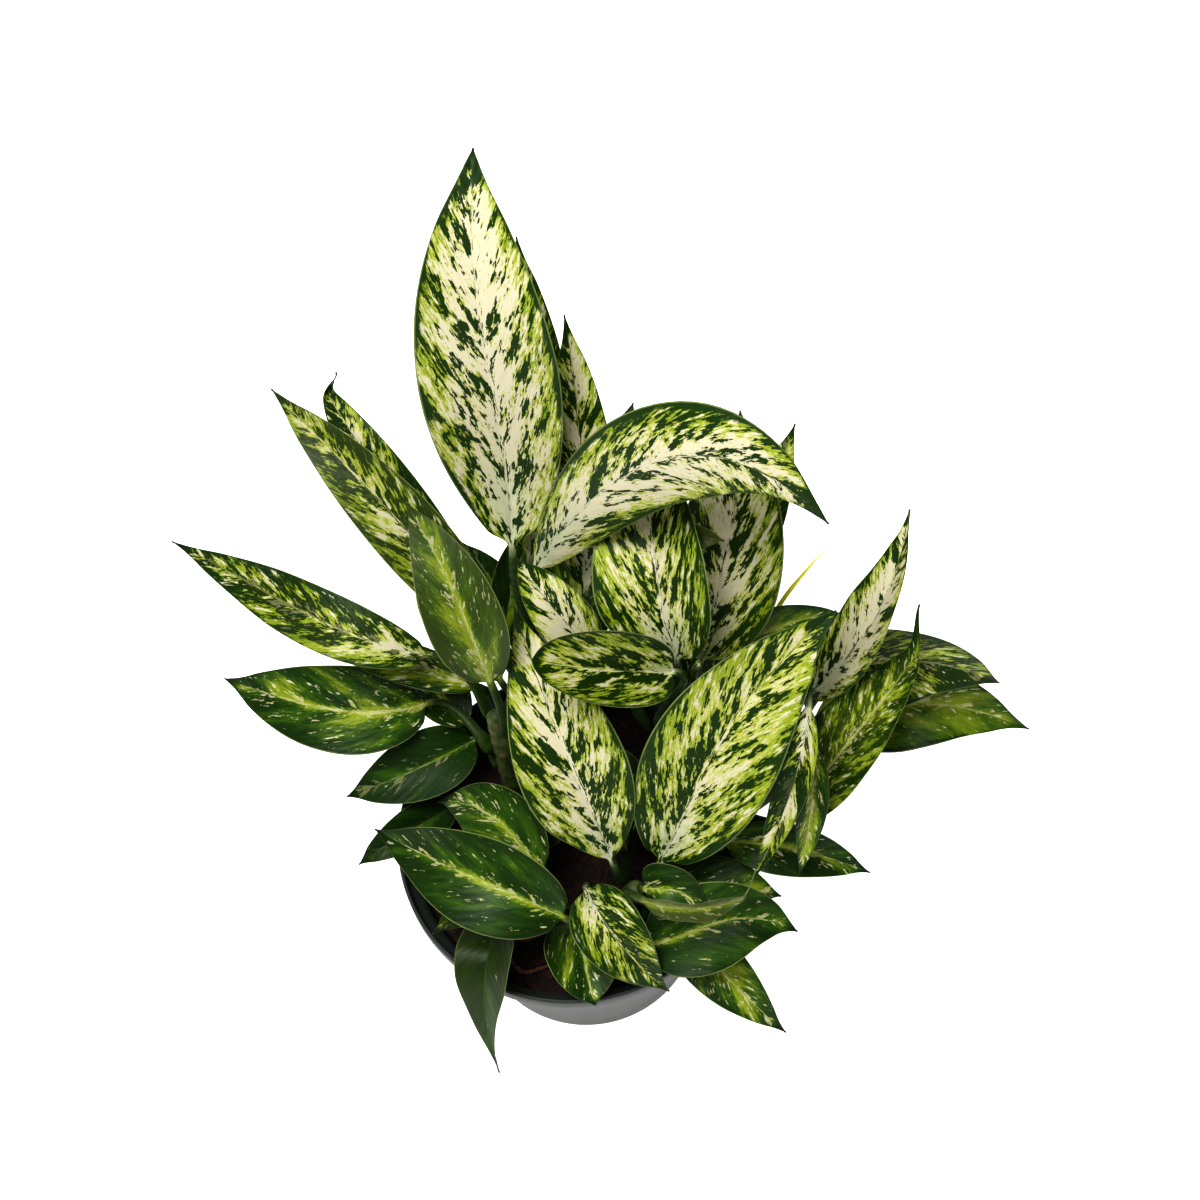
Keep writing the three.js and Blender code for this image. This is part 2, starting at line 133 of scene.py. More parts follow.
# %% Numbers that change over a surface
class Value:
    """A socket that carries one number, with the arithmetic written as Python."""

    def __init__(self, finish, socket):
        self.finish = finish
        self.socket = socket

    def joined(self, operation, *others):
        settings = {"operation": operation}
        return Value(self.finish, self.finish.node("Math", settings, *others).outputs[0])

    def __add__(self, other):
        return self.joined("ADD", self, other)

    def __sub__(self, other):
        return self.joined("SUBTRACT", self, other)

    def __rsub__(self, other):
        return self.joined("SUBTRACT", other, self)

    def __mul__(self, other):
        return self.joined("MULTIPLY", self, other)

    __radd__ = __add__
    __rmul__ = __mul__

    def size(self):
        return self.joined("ABSOLUTE", self)

    def at_least(self, other):
        return self.joined("MAXIMUM", self, other)

    def wave(self):
        return self.joined("SINE", self)

    def rise(self, low, high):
        """0 below low, 1 above high and smooth in between. It falls where low is the larger."""
        settings = {"interpolation_type": "SMOOTHSTEP"}
        falls = low > high
        ends = (high, low) if falls else (low, high)
        made = self.finish.node("MapRange", settings, self, *ends)
        risen = Value(self.finish, made.outputs[0])
        return 1 - risen if falls else risen


print("a number knows", [name for name in vars(Value) if name[0] != "_"])

# %% [markdown]
# Every material here is one Principled BSDF, which suits leaf, plastic and bark alike. A second
# class holds a material while it is built. All its nodes come from one method, `node`, which is
# told the node's type, its settings and the values of its sockets, in order or by name. The
# settings go first, because some of them change which sockets a node has.

# %% A finish: one material and its nodes
class Finish:
    """A material under construction. node() makes every node; the rest are short names for it."""

    def __init__(self, name):
        self.material = bpy.data.materials.new(name)
        self.material.use_nodes = True
        self.tree = self.material.node_tree
        self.shader = self.tree.nodes["Principled BSDF"]

    def put(self, socket, value):
        """Link a socket to a value, or set a constant on it."""
        if isinstance(value, Value):
            value = value.socket
        if isinstance(value, bpy.types.NodeSocket):
            self.tree.links.new(value, socket)
        elif isinstance(value, (tuple, list)) and len(value) == 3 and socket.type == "RGBA":
            socket.default_value = (*value, 1)
        else:
            socket.default_value = value

    def node(self, kind, settings, *values, **named):
        made = self.tree.nodes.new("ShaderNode" + kind)
        for setting, choice in settings.items():
            setattr(made, setting, choice)
        for socket, value in zip(made.inputs, values):
            self.put(socket, value)
        for name, value in named.items():
            self.put(made.inputs[name], value)
        return made

    def attribute(self, name):
        return self.node("Attribute", {"attribute_name": name}).outputs["Vector"]

    def own_place(self):
        """Where a point lies on its piece, in metres."""
        return self.node("TexCoord", {}).outputs["Object"]

    def parts(self, vector):
        made = self.node("SeparateXYZ", {}, vector)
        return [Value(self, socket) for socket in made.outputs]

    def stretched(self, vector, scale, shift=(0, 0, 0)):
        settings = {"operation": "MULTIPLY_ADD"}
        return self.node("VectorMath", settings, vector, scale, shift).outputs[0]

    def noise(self, vector, detail, roughness, scale=1):
        values = {"Scale": scale, "Detail": detail, "Roughness": roughness, "Vector": vector}
        return Value(self, self.node("TexNoise", {}, **values).outputs[0])

    def mixed(self, share, first, second):
        """The first colour where share is 0 and the second where it is 1."""
        made = self.node("Mix", {"data_type": "RGBA"})
        share_in, first_in, second_in = made.inputs[0], made.inputs[6], made.inputs[7]
        self.put(share_in, share)
        self.put(first_in, first)
        self.put(second_in, second)
        return made.outputs[2]

    def ramp(self, value, stops):
        made = self.node("ValToRGB", {}, value)
        spots = made.color_ramp.elements
        while len(spots) < len(stops):
            spots.new(1)
        for spot, (place, colour) in zip(spots, stops):
            spot.position = place
            spot.color = (*colour, 1)
        return made.outputs[0]

    def relief(self, height, strength, depth):
        values = {"Strength": strength, "Distance": depth, "Height": height}
        return self.node("Bump", {}, **values).outputs[0]

    def surface(self, **named):
        for name, value in named.items():
            self.put(self.shader.inputs[name.replace("_", " ")], value)
        return self.material


print("a finish can make", [name for name in vars(Finish) if name[0] != "_"])

# %% [markdown]
# Colours are easiest to choose as a screen shows them, from 0 to 255, but Blender adds up
# amounts of light, so `tone` turns one into the other. The floor could be lit until it is
# white, and that much light would bleach the leaves. It glows a little by itself instead, which
# also keeps the shadow round the pot pale.

# %% Colours, and the floor's finish
def tone(red, green, blue):
    """A colour as it reads on a screen, from 0 to 255, made into the light that Blender adds."""
    dark_end = 10
    return tuple((x / 255 / 12.92) if x <= dark_end else ((x / 255 + 0.055) / 1.055) ** 2.4
                 for x in (red, green, blue))


FLOOR_WHITE = (0.9, 0.9, 0.9)
FLOOR_GLOW = 0.6

floor_finish = Finish("white_sweep")
floor.data.materials.append(floor_finish.surface(
    Base_Color=FLOOR_WHITE, Roughness=0.9, Emission_Color=(1, 1, 1), Emission_Strength=FLOOR_GLOW))
print("floor finish", floor.data.materials[0].name)

# %% [markdown]
# ## Mesh helpers
# Nearly every piece of this plant is a skin over rings of points: round ones along a line for
# a stalk, a cane or a pot, and flattened ones for a blade. Curves with a bevel could make the
# round ones, but no bevel turns from a tube into a blade, and with rings the place of every
# corner is known. One function joins rings into closed faces, and another makes them an object
# that rides on the plant.

# %% Skins over rings
MM = 0.001


def skin_faces(rings, points):
    """Faces over a stack of rings, wound so that they look outwards, with both ends closed."""
    row = np.arange(rings - 1)[:, None] * points
    here = np.arange(points)[None, :]
    there = (here + 1) % points
    quads = np.stack([row + here, row + there, row + points + there, row + points + here], -1)
    first_end = list(range(points))[::-1]
    last_end = list(range((rings - 1) * points, rings * points))
    return quads.reshape(-1, 4).tolist() + [first_end, last_end]


def add_piece(name, corners, faces, material, slot, replaced=(), smooth=True):
    """A mesh in millimetres becomes a piece in metres that stands for its packed nodes."""
    mesh = bpy.data.meshes.new(name)
    mesh.from_pydata((np.asarray(corners) * MM).tolist(), [], faces)
    mesh.materials.append(material)
    mesh.polygons.foreach_set("use_smooth", [smooth] * len(mesh.polygons))
    mesh.validate()
    piece = bpy.data.objects.new(name, mesh)
    bpy.context.scene.collection.objects.link(piece)
    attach(piece, "root")
    if replaced:
        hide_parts(*replaced)
    return piece


print("a ring of 8 and 3 rings make", len(skin_faces(3, 8)), "faces")

# %% Small sums on arrays
def unit(vectors):
    return vectors / np.linalg.norm(vectors, axis=-1, keepdims=True)


def ease(values, low, high):
    """0 below low, 1 above high and smooth in between."""
    share = np.clip((values - low) / (high - low), 0, 1)
    return share * share * (3 - 2 * share)


def angles_round(count):
    return 2 * math.pi * np.arange(count) / count


print("a quarter, eased:", ease(0.25, 0, 1))

# %% [markdown]
# ## The plan of the plant
# The packed model was built from canes and leaf rows, and the same numbers are used here so that
# each leaf lies on its packed one. They are in millimetres and degrees. Leaves placed at random
# would be less to write, but they would cut through each other. A row says only what differs
# from a plain leaf. `at` is how far up its cane the stalk leaves it, `side` is the way it
# leaves, and after the width and the finish come four points of the midrib, its `rib`.
# `face` is the way the blade looks, and `fold` and `cup` bend it along the midrib and towards
# the margin. `widest`, `base` and `tip` shape the outline. The rest is looks: `wave` ruffles the
# margin, `drip` draws out the tip and `hook` bends its end aside. `cream` is how much of the
# blade is pale. The number after it paints a grey sheen above 0, a highlight that stands in for
# glare on the glossy skin and grows towards the margin, and a wash of lime green below 0.

# %% Canes
CANES = {
    "back": {"points": [[-6, 50, 112], [-7, 53, 174], [-6, 57, 216]], "radii": [6, 4.5]},
    "centre": {"points": [[35, 20, 112], [42, 19, 161], [53, 17, 216]], "radii": [6, 4.5]},
    "left": {"points": [[-26, 28, 112], [-27, 29, 155], [-28, 30, 200]], "radii": [6, 4.5]},
    "right": {"points": [[58, -8, 112], [66, -9, 142], [79, -8, 174]], "radii": [5.5, 4.5]},
    "front": {"points": [[20, -34, 112], [23, -37, 129], [27, -41, 151]], "radii": [5.5, 4.5]},
    "front_left": {"points": [[-32, -24, 112], [-31, -29, 129], [-26, -37, 148]],
                   "radii": [5.5, 4.5]},
}
print("canes", list(CANES))

# %% Leaves
PLAIN_LEAF = dict(face=(0, -1, 2), fold=12, cup=12, widest=0.4, base=0.7, tip=1.15, wave=0,
                  cream=0.2, haze=0, drip=0.15, hook=(0, 0, 0))
UP = (0, 0, 1)


def leaf(at, side, width, finish, *rib, **other):
    """A row of the plan: a plain leaf with its own place, size and midrib, and what differs."""
    return dict(PLAIN_LEAF, at=at, side=side, width=width, finish=finish, rib=rib, **other)


LEAVES = {}
LEAVES["back"] = [
    leaf(0.9, 105, 60, "cream", (-11, 82, 260), (-9, 104, 325), (-10, 125, 382), (-5, 168, 421),
         fold=8, cup=14, widest=0.47, tip=1.05, cream=0.88, drip=0.1),
    leaf(0.8, 90, 38, "cream", (-5, 96, 226), (2, 128, 268), (5, 162, 304), (6, 194, 336),
         fold=10, cup=10, cream=0.55),
    leaf(0.85, 30, 30, "cream", (19, 72, 234), (22, 91, 281), (24, 113, 317), (23, 141, 346),
         fold=10, cup=10, wave=2, cream=0.7),
    leaf(0.7, 30, 31, "cream", (25, 74, 221), (34, 91, 252), (41, 112, 276), (49, 133, 289),
         cream=0.55),
    leaf(0.97, 0, 44, "cream", (-3, 71, 257), (33, 57, 342), (72, 42, 379), (114, 19, 359),
         face=(-1, -1, 0), fold=-5, cup=-12, widest=0.54, cream=0.85),
    leaf(0.6, 135, 21, "green", (-22, 72, 195), (-16, 90, 208), (-8, 109, 213), (4, 128, 213),
         fold=15, cup=15, cream=0.05),
    leaf(0.5, 110, 21, "green", (-15, 79, 180), (-21, 96, 191), (-28, 108, 200), (-39, 126, 200),
         cream=0.05),
    leaf(0.65, -40, 27, "cream", (19, 37, 241), (11, 40, 259), (1, 51, 272), (-9, 73, 267),
         fold=15, cup=15, cream=0.8),
    leaf(0.68, 165, 27, "mixed", (-27, 74, 213), (-53, 105, 247), (-75, 138, 271), (-91, 170, 284),
         cream=0.62, hook=(10, -8, 12)),
    leaf(0.45, 45, 43, "green", (8, 68, 178), (14, 88, 192), (19, 110, 194), (26, 140, 179),
         face=UP),
    leaf(0.3, 145, 37, "green", (-27, 68, 161), (-39, 88, 174), (-51, 110, 174), (-65, 137, 159),
         face=UP),
    leaf(0.15, 80, 32, "green", (-2, 73, 141), (-6, 89, 154), (-10, 109, 151), (-14, 135, 135),
         face=UP, cream=0.1),
]
LEAVES["centre"] = [
    leaf(0.9, 100, 54, "cream", (55, 25, 247), (50, 39, 282), (50, 66, 300), (57, 98, 310),
         face=(-1, -2, 3), fold=15, cream=0.7, haze=-0.3),
    leaf(0.85, 45, 52, "cream", (66, 33, 228), (76, 49, 262), (86, 71, 296), (92, 103, 318),
         fold=10, cup=10, cream=0.78, haze=0.15),
    leaf(0.7, 60, 23, "cream", (80, 64, 221), (93, 74, 255), (105, 88, 281), (116, 104, 302),
         cream=0.5),
    leaf(0.75, 160, 12, "mixed", (57, 58, 292), (64, 56, 298), (71, 54, 300), (79, 52, 299),
         cream=0.05, haze=1.6),
    leaf(0.5, 35, 5.5, "mixed", (96, 48, 213), (104, 55, 232), (114, 61, 245), (127, 69, 255),
         fold=40, cup=60, cream=3),
    leaf(0.93, 20, 4.7, "mixed", (63, 12, 268), (67, 10, 286), (70, 9, 302), (75, 10, 315),
         fold=40, cup=60, cream=0.5),
    leaf(0.97, 210, 41, "cream", (53, 16, 255), (38, 13, 265), (17, 9, 281), (-5, 8, 296),
         fold=30, cup=20, widest=0.58, tip=0.42, cream=0.68, haze=-0.8, drip=0),
    leaf(0.4, 85, 43, "green", (61, 37, 180), (69, 66, 201), (76, 100, 202), (84, 140, 184),
         face=UP, base=0.5),
    leaf(0.2, 25, 35, "green", (62, 29, 156), (83, 40, 169), (105, 54, 169), (129, 75, 156),
         face=UP),
]
LEAVES["left"] = [
    leaf(0.9, 50, 32, "mixed", (-21, 40, 246), (-45, 68, 285), (-74, 99, 312), (-104, 135, 325),
         cream=0.55, haze=0.5, wave=1.5),
    leaf(0.97, -70, 34, "mixed", (-25, 18, 260), (-30, 28, 289), (-38, 49, 307), (-51, 78, 315),
         cream=0.22, haze=0.7),
    leaf(0.85, 115, 29, "mixed", (-54, 53, 224), (-89, 60, 242), (-127, 88, 239), (-173, 130, 221),
         cream=0.5, wave=2.5),
    leaf(0.6, 110, 22, "green", (-35, 51, 191), (-59, 58, 202), (-83, 68, 202), (-109, 79, 193),
         fold=20, cup=10, cream=0.3),
    leaf(0.5, 145, 44, "green", (-62, 55, 172), (-91, 50, 180), (-124, 61, 177), (-162, 86, 161),
         cream=0.22),
    leaf(0.3, 135, 34, "green", (-42, 43, 152), (-60, 33, 156), (-82, 26, 154), (-106, 23, 146),
         cream=0.05),
    leaf(0.4, 120, 28, "green", (-44, 47, 161), (-54, 58, 165), (-64, 71, 164), (-77, 87, 153),
         face=UP, cream=0.1),
]
LEAVES["right"] = [
    leaf(0.85, 120, 33, "green", (72, 37, 200), (87, 40, 226), (109, 39, 245), (132, 37, 248),
         cream=0.15, wave=1.5),
    leaf(0.9, 60, 30, "cream", (114, 24, 200), (130, 19, 250), (143, 24, 291), (153, 45, 320),
         face=(-2, -1, 2), cream=0.85),
    leaf(0.8, 20, 43, "mixed", (121, 26, 200), (141, 25, 224), (168, 19, 230), (198, 14, 213),
         cream=0.5),
    leaf(0.7, -30, 38.5, "mixed", (101, -19, 164), (120, -10, 200), (141, 1, 234), (162, 17, 263),
         face=(-2, -1, 2), widest=0.36, cream=0.42, hook=(-4, 8, 12)),
    leaf(0.5, 10, 43, "green", (119, 23, 159), (149, 23, 180), (180, 20, 182), (219, 13, 161),
         haze=-1.4),
    leaf(0.97, -100, 17, "mixed", (107, -8, 258), (102, -24, 242), (93, -39, 216), (78, -56, 185),
         face=(-1, -1, 2), cream=0.55),
    leaf(0.95, -50, 15, "mixed", (110, -12, 226), (108, -27, 215), (105, -39, 196), (100, -52, 174),
         cream=0.3),
    leaf(0.3, -60, 26, "green", (70, -25, 155), (90, -31, 162), (113, -36, 155), (136, -42, 142),
         cream=0.15),
]
LEAVES["front"] = [
    leaf(0.95, 140, 50, "cream", (18, -38, 181), (10, -22, 217), (0, 3, 247), (-12, 49, 268),
         widest=0.5, base=1.0, cream=0.76),
    leaf(0.97, 40, 59, "cream", (39, -41, 181), (57, -24, 220), (80, -4, 255), (121, 19, 289),
         widest=0.48, tip=1.0, cream=0.68, haze=-0.7),
    leaf(0.7, 200, 32, "cream", (5, -46, 172), (12, -66, 181), (22, -79, 169), (37, -89, 146),
         widest=0.36, cream=0.55),
    leaf(0.9, -50, 13, "green", (29, -66, 206), (43, -73, 210), (60, -74, 210), (78, -67, 203),
         face=(0, -2, 1), cream=0.22, haze=1.1, hook=(2, 8, 8), wave=1),
    leaf(0.8, 0, 27, "mixed", (31, -51, 178), (38, -54, 184), (47, -57, 184), (57, -62, 177),
         cream=0.12),
    leaf(0.6, -80, 43, "green", (28, -70, 155), (49, -69, 165), (72, -67, 170), (97, -72, 159),
         cream=0.1, haze=-0.2, wave=2),
    leaf(0.4, -50, 28, "mixed", (40, -51, 135), (55, -72, 141), (70, -89, 133), (89, -104, 112),
         cream=0.27),
    leaf(0.3, 90, 28, "green", (24, -17, 143), (26, -1, 154), (26, 16, 155), (24, 37, 143),
         face=UP, cream=0.15),
    leaf(0.2, 10, 29, "green", (44, -36, 136), (60, -41, 144), (77, -44, 144), (94, -47, 137),
         face=UP),
]
LEAVES["front_left"] = [
    leaf(0.7, 115, 22, "green", (-56, 23, 125), (-70, 11, 134), (-86, -1, 142), (-103, -8, 135),
         cream=0.02),
    leaf(0.9, 45, 35, "green", (-14, -30, 159), (-26, -14, 161), (-41, 5, 154), (-64, 19, 137),
         cream=0.14, haze=-0.4),
    leaf(0.8, -75, 43, "green", (-6, -59, 174), (-30, -51, 193), (-58, -33, 190), (-89, -7, 174),
         cream=0.1, wave=1.2),
    leaf(0.3, 180, 16, "green", (-47, -34, 137), (-53, -38, 141), (-59, -42, 143), (-68, -50, 146),
         cream=0.05, haze=0.3),
    leaf(0.4, 240, 31, "green", (-41, -36, 138), (-42, -65, 158), (-47, -82, 141), (-46, -104, 96),
         widest=0.34, tip=1.4, cream=-0.05, haze=0.35, drip=0.1),
    leaf(0.35, -35, 38, "mixed", (1, -46, 134), (0, -62, 141), (1, -78, 143), (3, -90, 140),
         face=UP, fold=10, cream=0.24),
    leaf(0.6, 60, 28, "green", (-20, -10, 135), (-10, 2, 142), (-2, 15, 142), (4, 31, 135),
         face=UP, cream=0.1),
]
print("leaves", sum(len(rows) for rows in LEAVES.values()))

# %% [markdown]
# ## Leaf finish
# A dieffenbachia leaf is painted by its veins. Pale tissue spreads from the midrib, green creeps
# in from the margin, and both follow the side veins, which run forwards at a slant. A noise read
# in plain space would blot in every direction alike. So each leaf mesh carries where its skin
# lies across and along the veins, and the noises are read there and drawn out along them. Each
# leaf also has a shift of its own, so no two have the same pattern.

# %% Leaf colours
CREAM = tone(188, 182, 156)
BUTTER = tone(166, 170, 84)
YELLOW_GREEN = tone(128, 142, 36)
LEAF_GREEN = tone(54, 84, 14)
DEEP_GREEN = tone(30, 56, 8)
DARK_GREEN = tone(19, 39, 6)
# A painted sheen: grey-green that stands in for glare on glossy blades.
SHEEN_GREY_GREEN = tone(72, 78, 36)
# Painted shade: a dim green-tinted cream for the base of a pale blade beside the midrib.
HEART_SHADE_GREEN = tone(158, 172, 136)
# Painted light: the young leaf's yellow is brighter than its own, as if lit through from behind.
BACKLIT_YOUNG_YELLOW = tone(252, 246, 130)
UNDER_GREEN = tone(112, 128, 84)
RIB_PALE = tone(196, 198, 132)
EDGE_PALE = tone(150, 160, 96)
STALK_GREEN = tone(50, 66, 26)

TISSUE_STOPS = [(0.0, CREAM), (0.39, CREAM), (0.45, BUTTER), (0.54, YELLOW_GREEN),
                (0.62, YELLOW_GREEN), (0.72, LEAF_GREEN), (0.82, DEEP_GREEN), (0.97, DARK_GREEN)]
print("tissue runs through", len(TISSUE_STOPS), "stops")

# %% [markdown]
# The marks on a blade have several sizes: wide clouds, patches, flecks, a fine mottle and small
# round dots. One noise with a lot of detail could hold all of them, but its small marks would
# always sit on its large ones. Five noises can be mixed in different amounts, and each kind of
# mark can be strong on one leaf and missing on the next.

# %% Noises and zones of a blade
# Each noise has its marks per centimetre across and along the veins, a place of its own, its
# detail and its roughness.
VEIN_NOISES = {
    "patches": ((1.45, 0.95, 1), (0, 0, 0), 5, 0.6),
    "flecks": ((4.0, 2.9, 1), (7, 3, 11), 3, 0.6),
    "clouds": ((0.5, 0.35, 1), (3, 9, 5), 1, 0.5),
    "mottle": ((4.4, 3.1, 1), (17, 5, 2), 4, 0.75),
    "dots": ((2.6, 2.6, 1), (2, 5, 8), 2, 0.4),
}
# A leaf less pale than FULL_CREAM is moved towards green, and so is every tip.
FULL_CREAM = 0.8
GREEN_SHIFT = 0.55
TIP_SHIFT = 0.28


def read_leaf(f):
    """The numbers that a leaf mesh carries, its noises, and the zones of a blade."""
    place = f.attribute("vein_place")
    flow, reach, _ = f.parts(place)
    along, rim, under = f.parts(f.attribute("leaf_share"))
    cream, haze, stalk = f.parts(f.attribute("leaf_kind"))
    noises = {name: f.noise(f.stretched(place, scale, shift), detail, roughness)
              for name, (scale, shift, detail, roughness) in VEIN_NOISES.items()}
    return SimpleNamespace(
        flow=flow, side=reach.size(), along=along, rim=rim, under=under,
        cream=cream, haze=haze, stalk=stalk, **noises,
        greenness=(FULL_CREAM - cream) * GREEN_SHIFT,
        tip=along.rise(0.9, 1.0) * TIP_SHIFT,
        shaded_heart=along.rise(0.35, 0.05) * rim.rise(0.7, 0.2) * cream.rise(0.3, 0.7))


print("noises", list(VEIN_NOISES))

# %% [markdown]
# Under the marks lies a ground that goes from cream to dark green. The colours could be mixed in
# one after another, but then cream could touch dark green without the yellow-green that always
# lies between them on a leaf. So the ground is one number, `zone`, sent through a ramp. Noise
# moves it about, the margin and the tip raise it, and the tissue beside the midrib lowers it.
# A lime wash draws it towards the yellow-green in the middle of the ramp.

# %% Ground colour of the blade
CREAM_ZONE = 0.41
LIME_ZONE = 0.58


def tissue(f, leaf):
    """The ground colour before any marks."""
    margin = leaf.rim.rise(0.3, 1.0) * (0.04 + leaf.cream * 0.2)
    rib_side = leaf.side.rise(1.6, 0.9) * leaf.along.rise(0.95, 0.4) * leaf.cream.rise(-0.02, 0.15)
    rib_side = rib_side * (0.06 + (1 - leaf.cream).at_least(0) * 0.22)
    rib_side = rib_side * (0.3 + leaf.mottle.rise(0.42, 0.6))
    zone = CREAM_ZONE + (leaf.mottle - 0.5) * (leaf.cream * 1.15 + 0.05)
    zone = zone + (leaf.patches - 0.5) * 0.3 + (leaf.clouds - 0.5) * 0.5
    zone = zone + margin + leaf.tip - rib_side + leaf.greenness - leaf.shaded_heart * 0.08
    lime = (leaf.haze * -0.35).at_least(0)
    zone = zone * (1 - lime) + lime * LIME_ZONE
    # The heart of a pale blade, at its base beside the midrib, is made paler with fewer blotches,
    # and then it is mixed halfway to a dim green cream. That mix is painted green-tinted shade.
    return f.mixed(leaf.shaded_heart * 0.5, f.ramp(zone, TISSUE_STOPS), HEART_SHADE_GREEN)


print("cream tissue lies at", CREAM_ZONE)

# %% [markdown]
# On top of the ground lie marks with sharp edges, as if dripped from a brush. A noise blended in
# softly would look like watercolour, so each kind of mark is a noise cut off between two close
# levels: dark blotches on pale leaves, cream islands left in them, cream streaks beside the
# midrib of green leaves, and small dots. Last comes the ragged green band round the margin.

# %% Marks on the blade
BLOTCH_EDGE = (0.52, 0.54)
ISLAND_EDGE = (0.4, 0.38)
STREAK_EDGE = (0.665, 0.68)
DOT_EDGE = (0.68, 0.7)
BAND_EDGE = (0.88, 0.95)


def marks(f, leaf, colour, depth):
    """Blotches, islands, streaks, dots and the band round the margin, laid on a colour."""
    dark = leaf.patches + (leaf.flecks - 0.5) * 0.6 + (leaf.clouds - 0.5) * 0.4
    dark = dark - leaf.shaded_heart * 0.05 + leaf.tip + leaf.greenness * 0.3
    deep = f.mixed(depth * leaf.rim.rise(1.1, 0.7), DEEP_GREEN, DARK_GREEN)
    colour = f.mixed(dark.rise(*BLOTCH_EDGE) * leaf.cream.rise(0.15, 0.55), colour, deep)

    islands = leaf.patches + (leaf.flecks - 0.5) * 0.5 + leaf.tip
    islands = islands + (0.6 - leaf.cream).at_least(0) * 0.2
    colour = f.mixed(islands.rise(*ISLAND_EDGE) * leaf.rim.rise(0.97, 0.9), colour, CREAM)

    streaks = leaf.patches + (leaf.flecks - 0.5) * 0.45 + leaf.side.rise(2.2, 0.1) * 0.18
    streaks = (streaks - leaf.tip).rise(*STREAK_EDGE)
    streaks = streaks * leaf.cream.rise(0, 0.12) * leaf.cream.rise(0.6, 0.35)
    streak_colour = f.mixed(leaf.mottle.rise(0.4, 0.6), CREAM, BUTTER)
    colour = f.mixed(streaks * 0.8, colour, streak_colour)

    dots = leaf.dots - leaf.tip - (leaf.cream - 0.3).size() * 0.3 + leaf.rim.rise(0.7, 0.2) * 0.05
    colour = f.mixed(dots.rise(*DOT_EDGE) * leaf.cream.rise(0, 0.2) * 0.8, colour, CREAM)

    band = leaf.rim + (leaf.clouds - 0.5) * 0.3 + (leaf.mottle - 0.5) * 0.3
    return f.mixed(band.rise(*BAND_EDGE), colour, f.mixed(depth * 0.5, DEEP_GREEN, DARK_GREEN))


print("blotches begin at", BLOTCH_EDGE[0])

# %% [markdown]
# The midrib and the thin edge are paler than the blade, the underside is duller, and the stalk
# is green. Each could be a strip of mesh with a material of its own, but real tissue runs from
# one to the other without a line, so they are soft masks in the same finish. A rolled young leaf
# is plain yellow, which its row says with a `cream` far above 1. Its yellow is painted brighter
# than its own, as if light shone through it from behind.

# %% Rib, edge, underside and stalk
YOUNG_CREAM = (1.5, 1.6)


def dressed(f, leaf, colour):
    """The blade's colour with the rib, a painted sheen, the edge, the underside and the stalk
    added.
    """
    young = leaf.cream.rise(*YOUNG_CREAM)
    # The rolled young leaf's bright yellow is partly its own colour and partly painted light
    # shining through it.
    colour = f.mixed(young, colour, BACKLIT_YOUNG_YELLOW)
    rib = leaf.side.rise(0.1, 0.03) * leaf.along.rise(1, 0.7)
    rib_colour = f.mixed(leaf.cream.rise(0, 0.6), YELLOW_GREEN, RIB_PALE)
    colour = f.mixed(rib * 0.65, colour, rib_colour)
    # Painted sheen: grey-green laid over the blade, stronger at the margin, for the glare on its
    # glossy skin.
    colour = f.mixed(leaf.haze * (0.35 + leaf.rim * 0.35), colour, SHEEN_GREY_GREEN)
    edge = leaf.rim.rise(0.965, 0.99) * 0.6 * (1 - leaf.stalk)
    colour = f.mixed(edge, colour, EDGE_PALE)
    colour = f.mixed(leaf.under * 0.5 * (1 - young), colour, UNDER_GREEN)
    stalk_colour = f.mixed(leaf.mottle.rise(0.4, 0.6), STALK_GREEN, DEEP_GREEN)
    return f.mixed(leaf.stalk, colour, f.mixed(young, stalk_colour, BACKLIT_YOUNG_YELLOW))


print("young leaves have a cream above", YOUNG_CREAM[1])

# %% [markdown]
# Colour alone would look printed, because the lamp would run over it as over paper. Fine veins
# cut into the mesh would need millions of faces. A bump of half a millimetre, made of the same
# veins and mottle, breaks the sheen just as well, and the underside and the mottled places are
# a little less glossy.

# %% The whole leaf finish
FINE_VEINS = 7.2
SKIN_RELIEF = 0.0006
LEAF_GLOSS = 0.2


def leaf_finish(name, depth):
    """depth is how dark the green is, from 0 for young leaves to 1 for old ones low down."""
    f = Finish(name)
    leaf = read_leaf(f)
    colour = dressed(f, leaf, marks(f, leaf, tissue(f, leaf), depth))
    veins = (leaf.flow * FINE_VEINS + (leaf.clouds - 0.5) * 3).wave()
    height = veins * 0.3 + leaf.mottle * 0.8
    return f.surface(Base_Color=colour, Roughness=0.4 + leaf.under * 0.18 + leaf.mottle * 0.12,
                     Normal=f.relief(height, 0.25, SKIN_RELIEF), Specular_IOR_Level=LEAF_GLOSS)


leaf_finishes = {
    "cream": leaf_finish("leaf_cream", 0.3),
    "mixed": leaf_finish("leaf_mixed", 0.6),
    "green": leaf_finish("leaf_green", 0.9),
}
print("leaf finishes", sorted(leaf_finishes))

# %% [markdown]
# ## Leaf shape
# A leaf is one skin: a round stalk that flattens into a blade. A flat cut-out bent by modifiers
# would be quicker to make, but its rib and its cupped sides couldn't be set leaf by leaf. Here
# the midrib is a smooth curve through the row's four points, and the blade's section is carried
# along it. The groove and the ridge of the midrib and the quilting between the side veins show
# in the light and at the outline, so they are in the mesh and not in the finish.

# %% Curves
def midrib_handles(p0, p1, p2, p3):
    """The four handles of the smooth curve through four points."""
    near = (-5 * p0 + 18 * p1 - 9 * p2 + 2 * p3) / 6
    far = (2 * p0 - 9 * p1 + 18 * p2 - 5 * p3) / 6
    return p0, near, far, p3


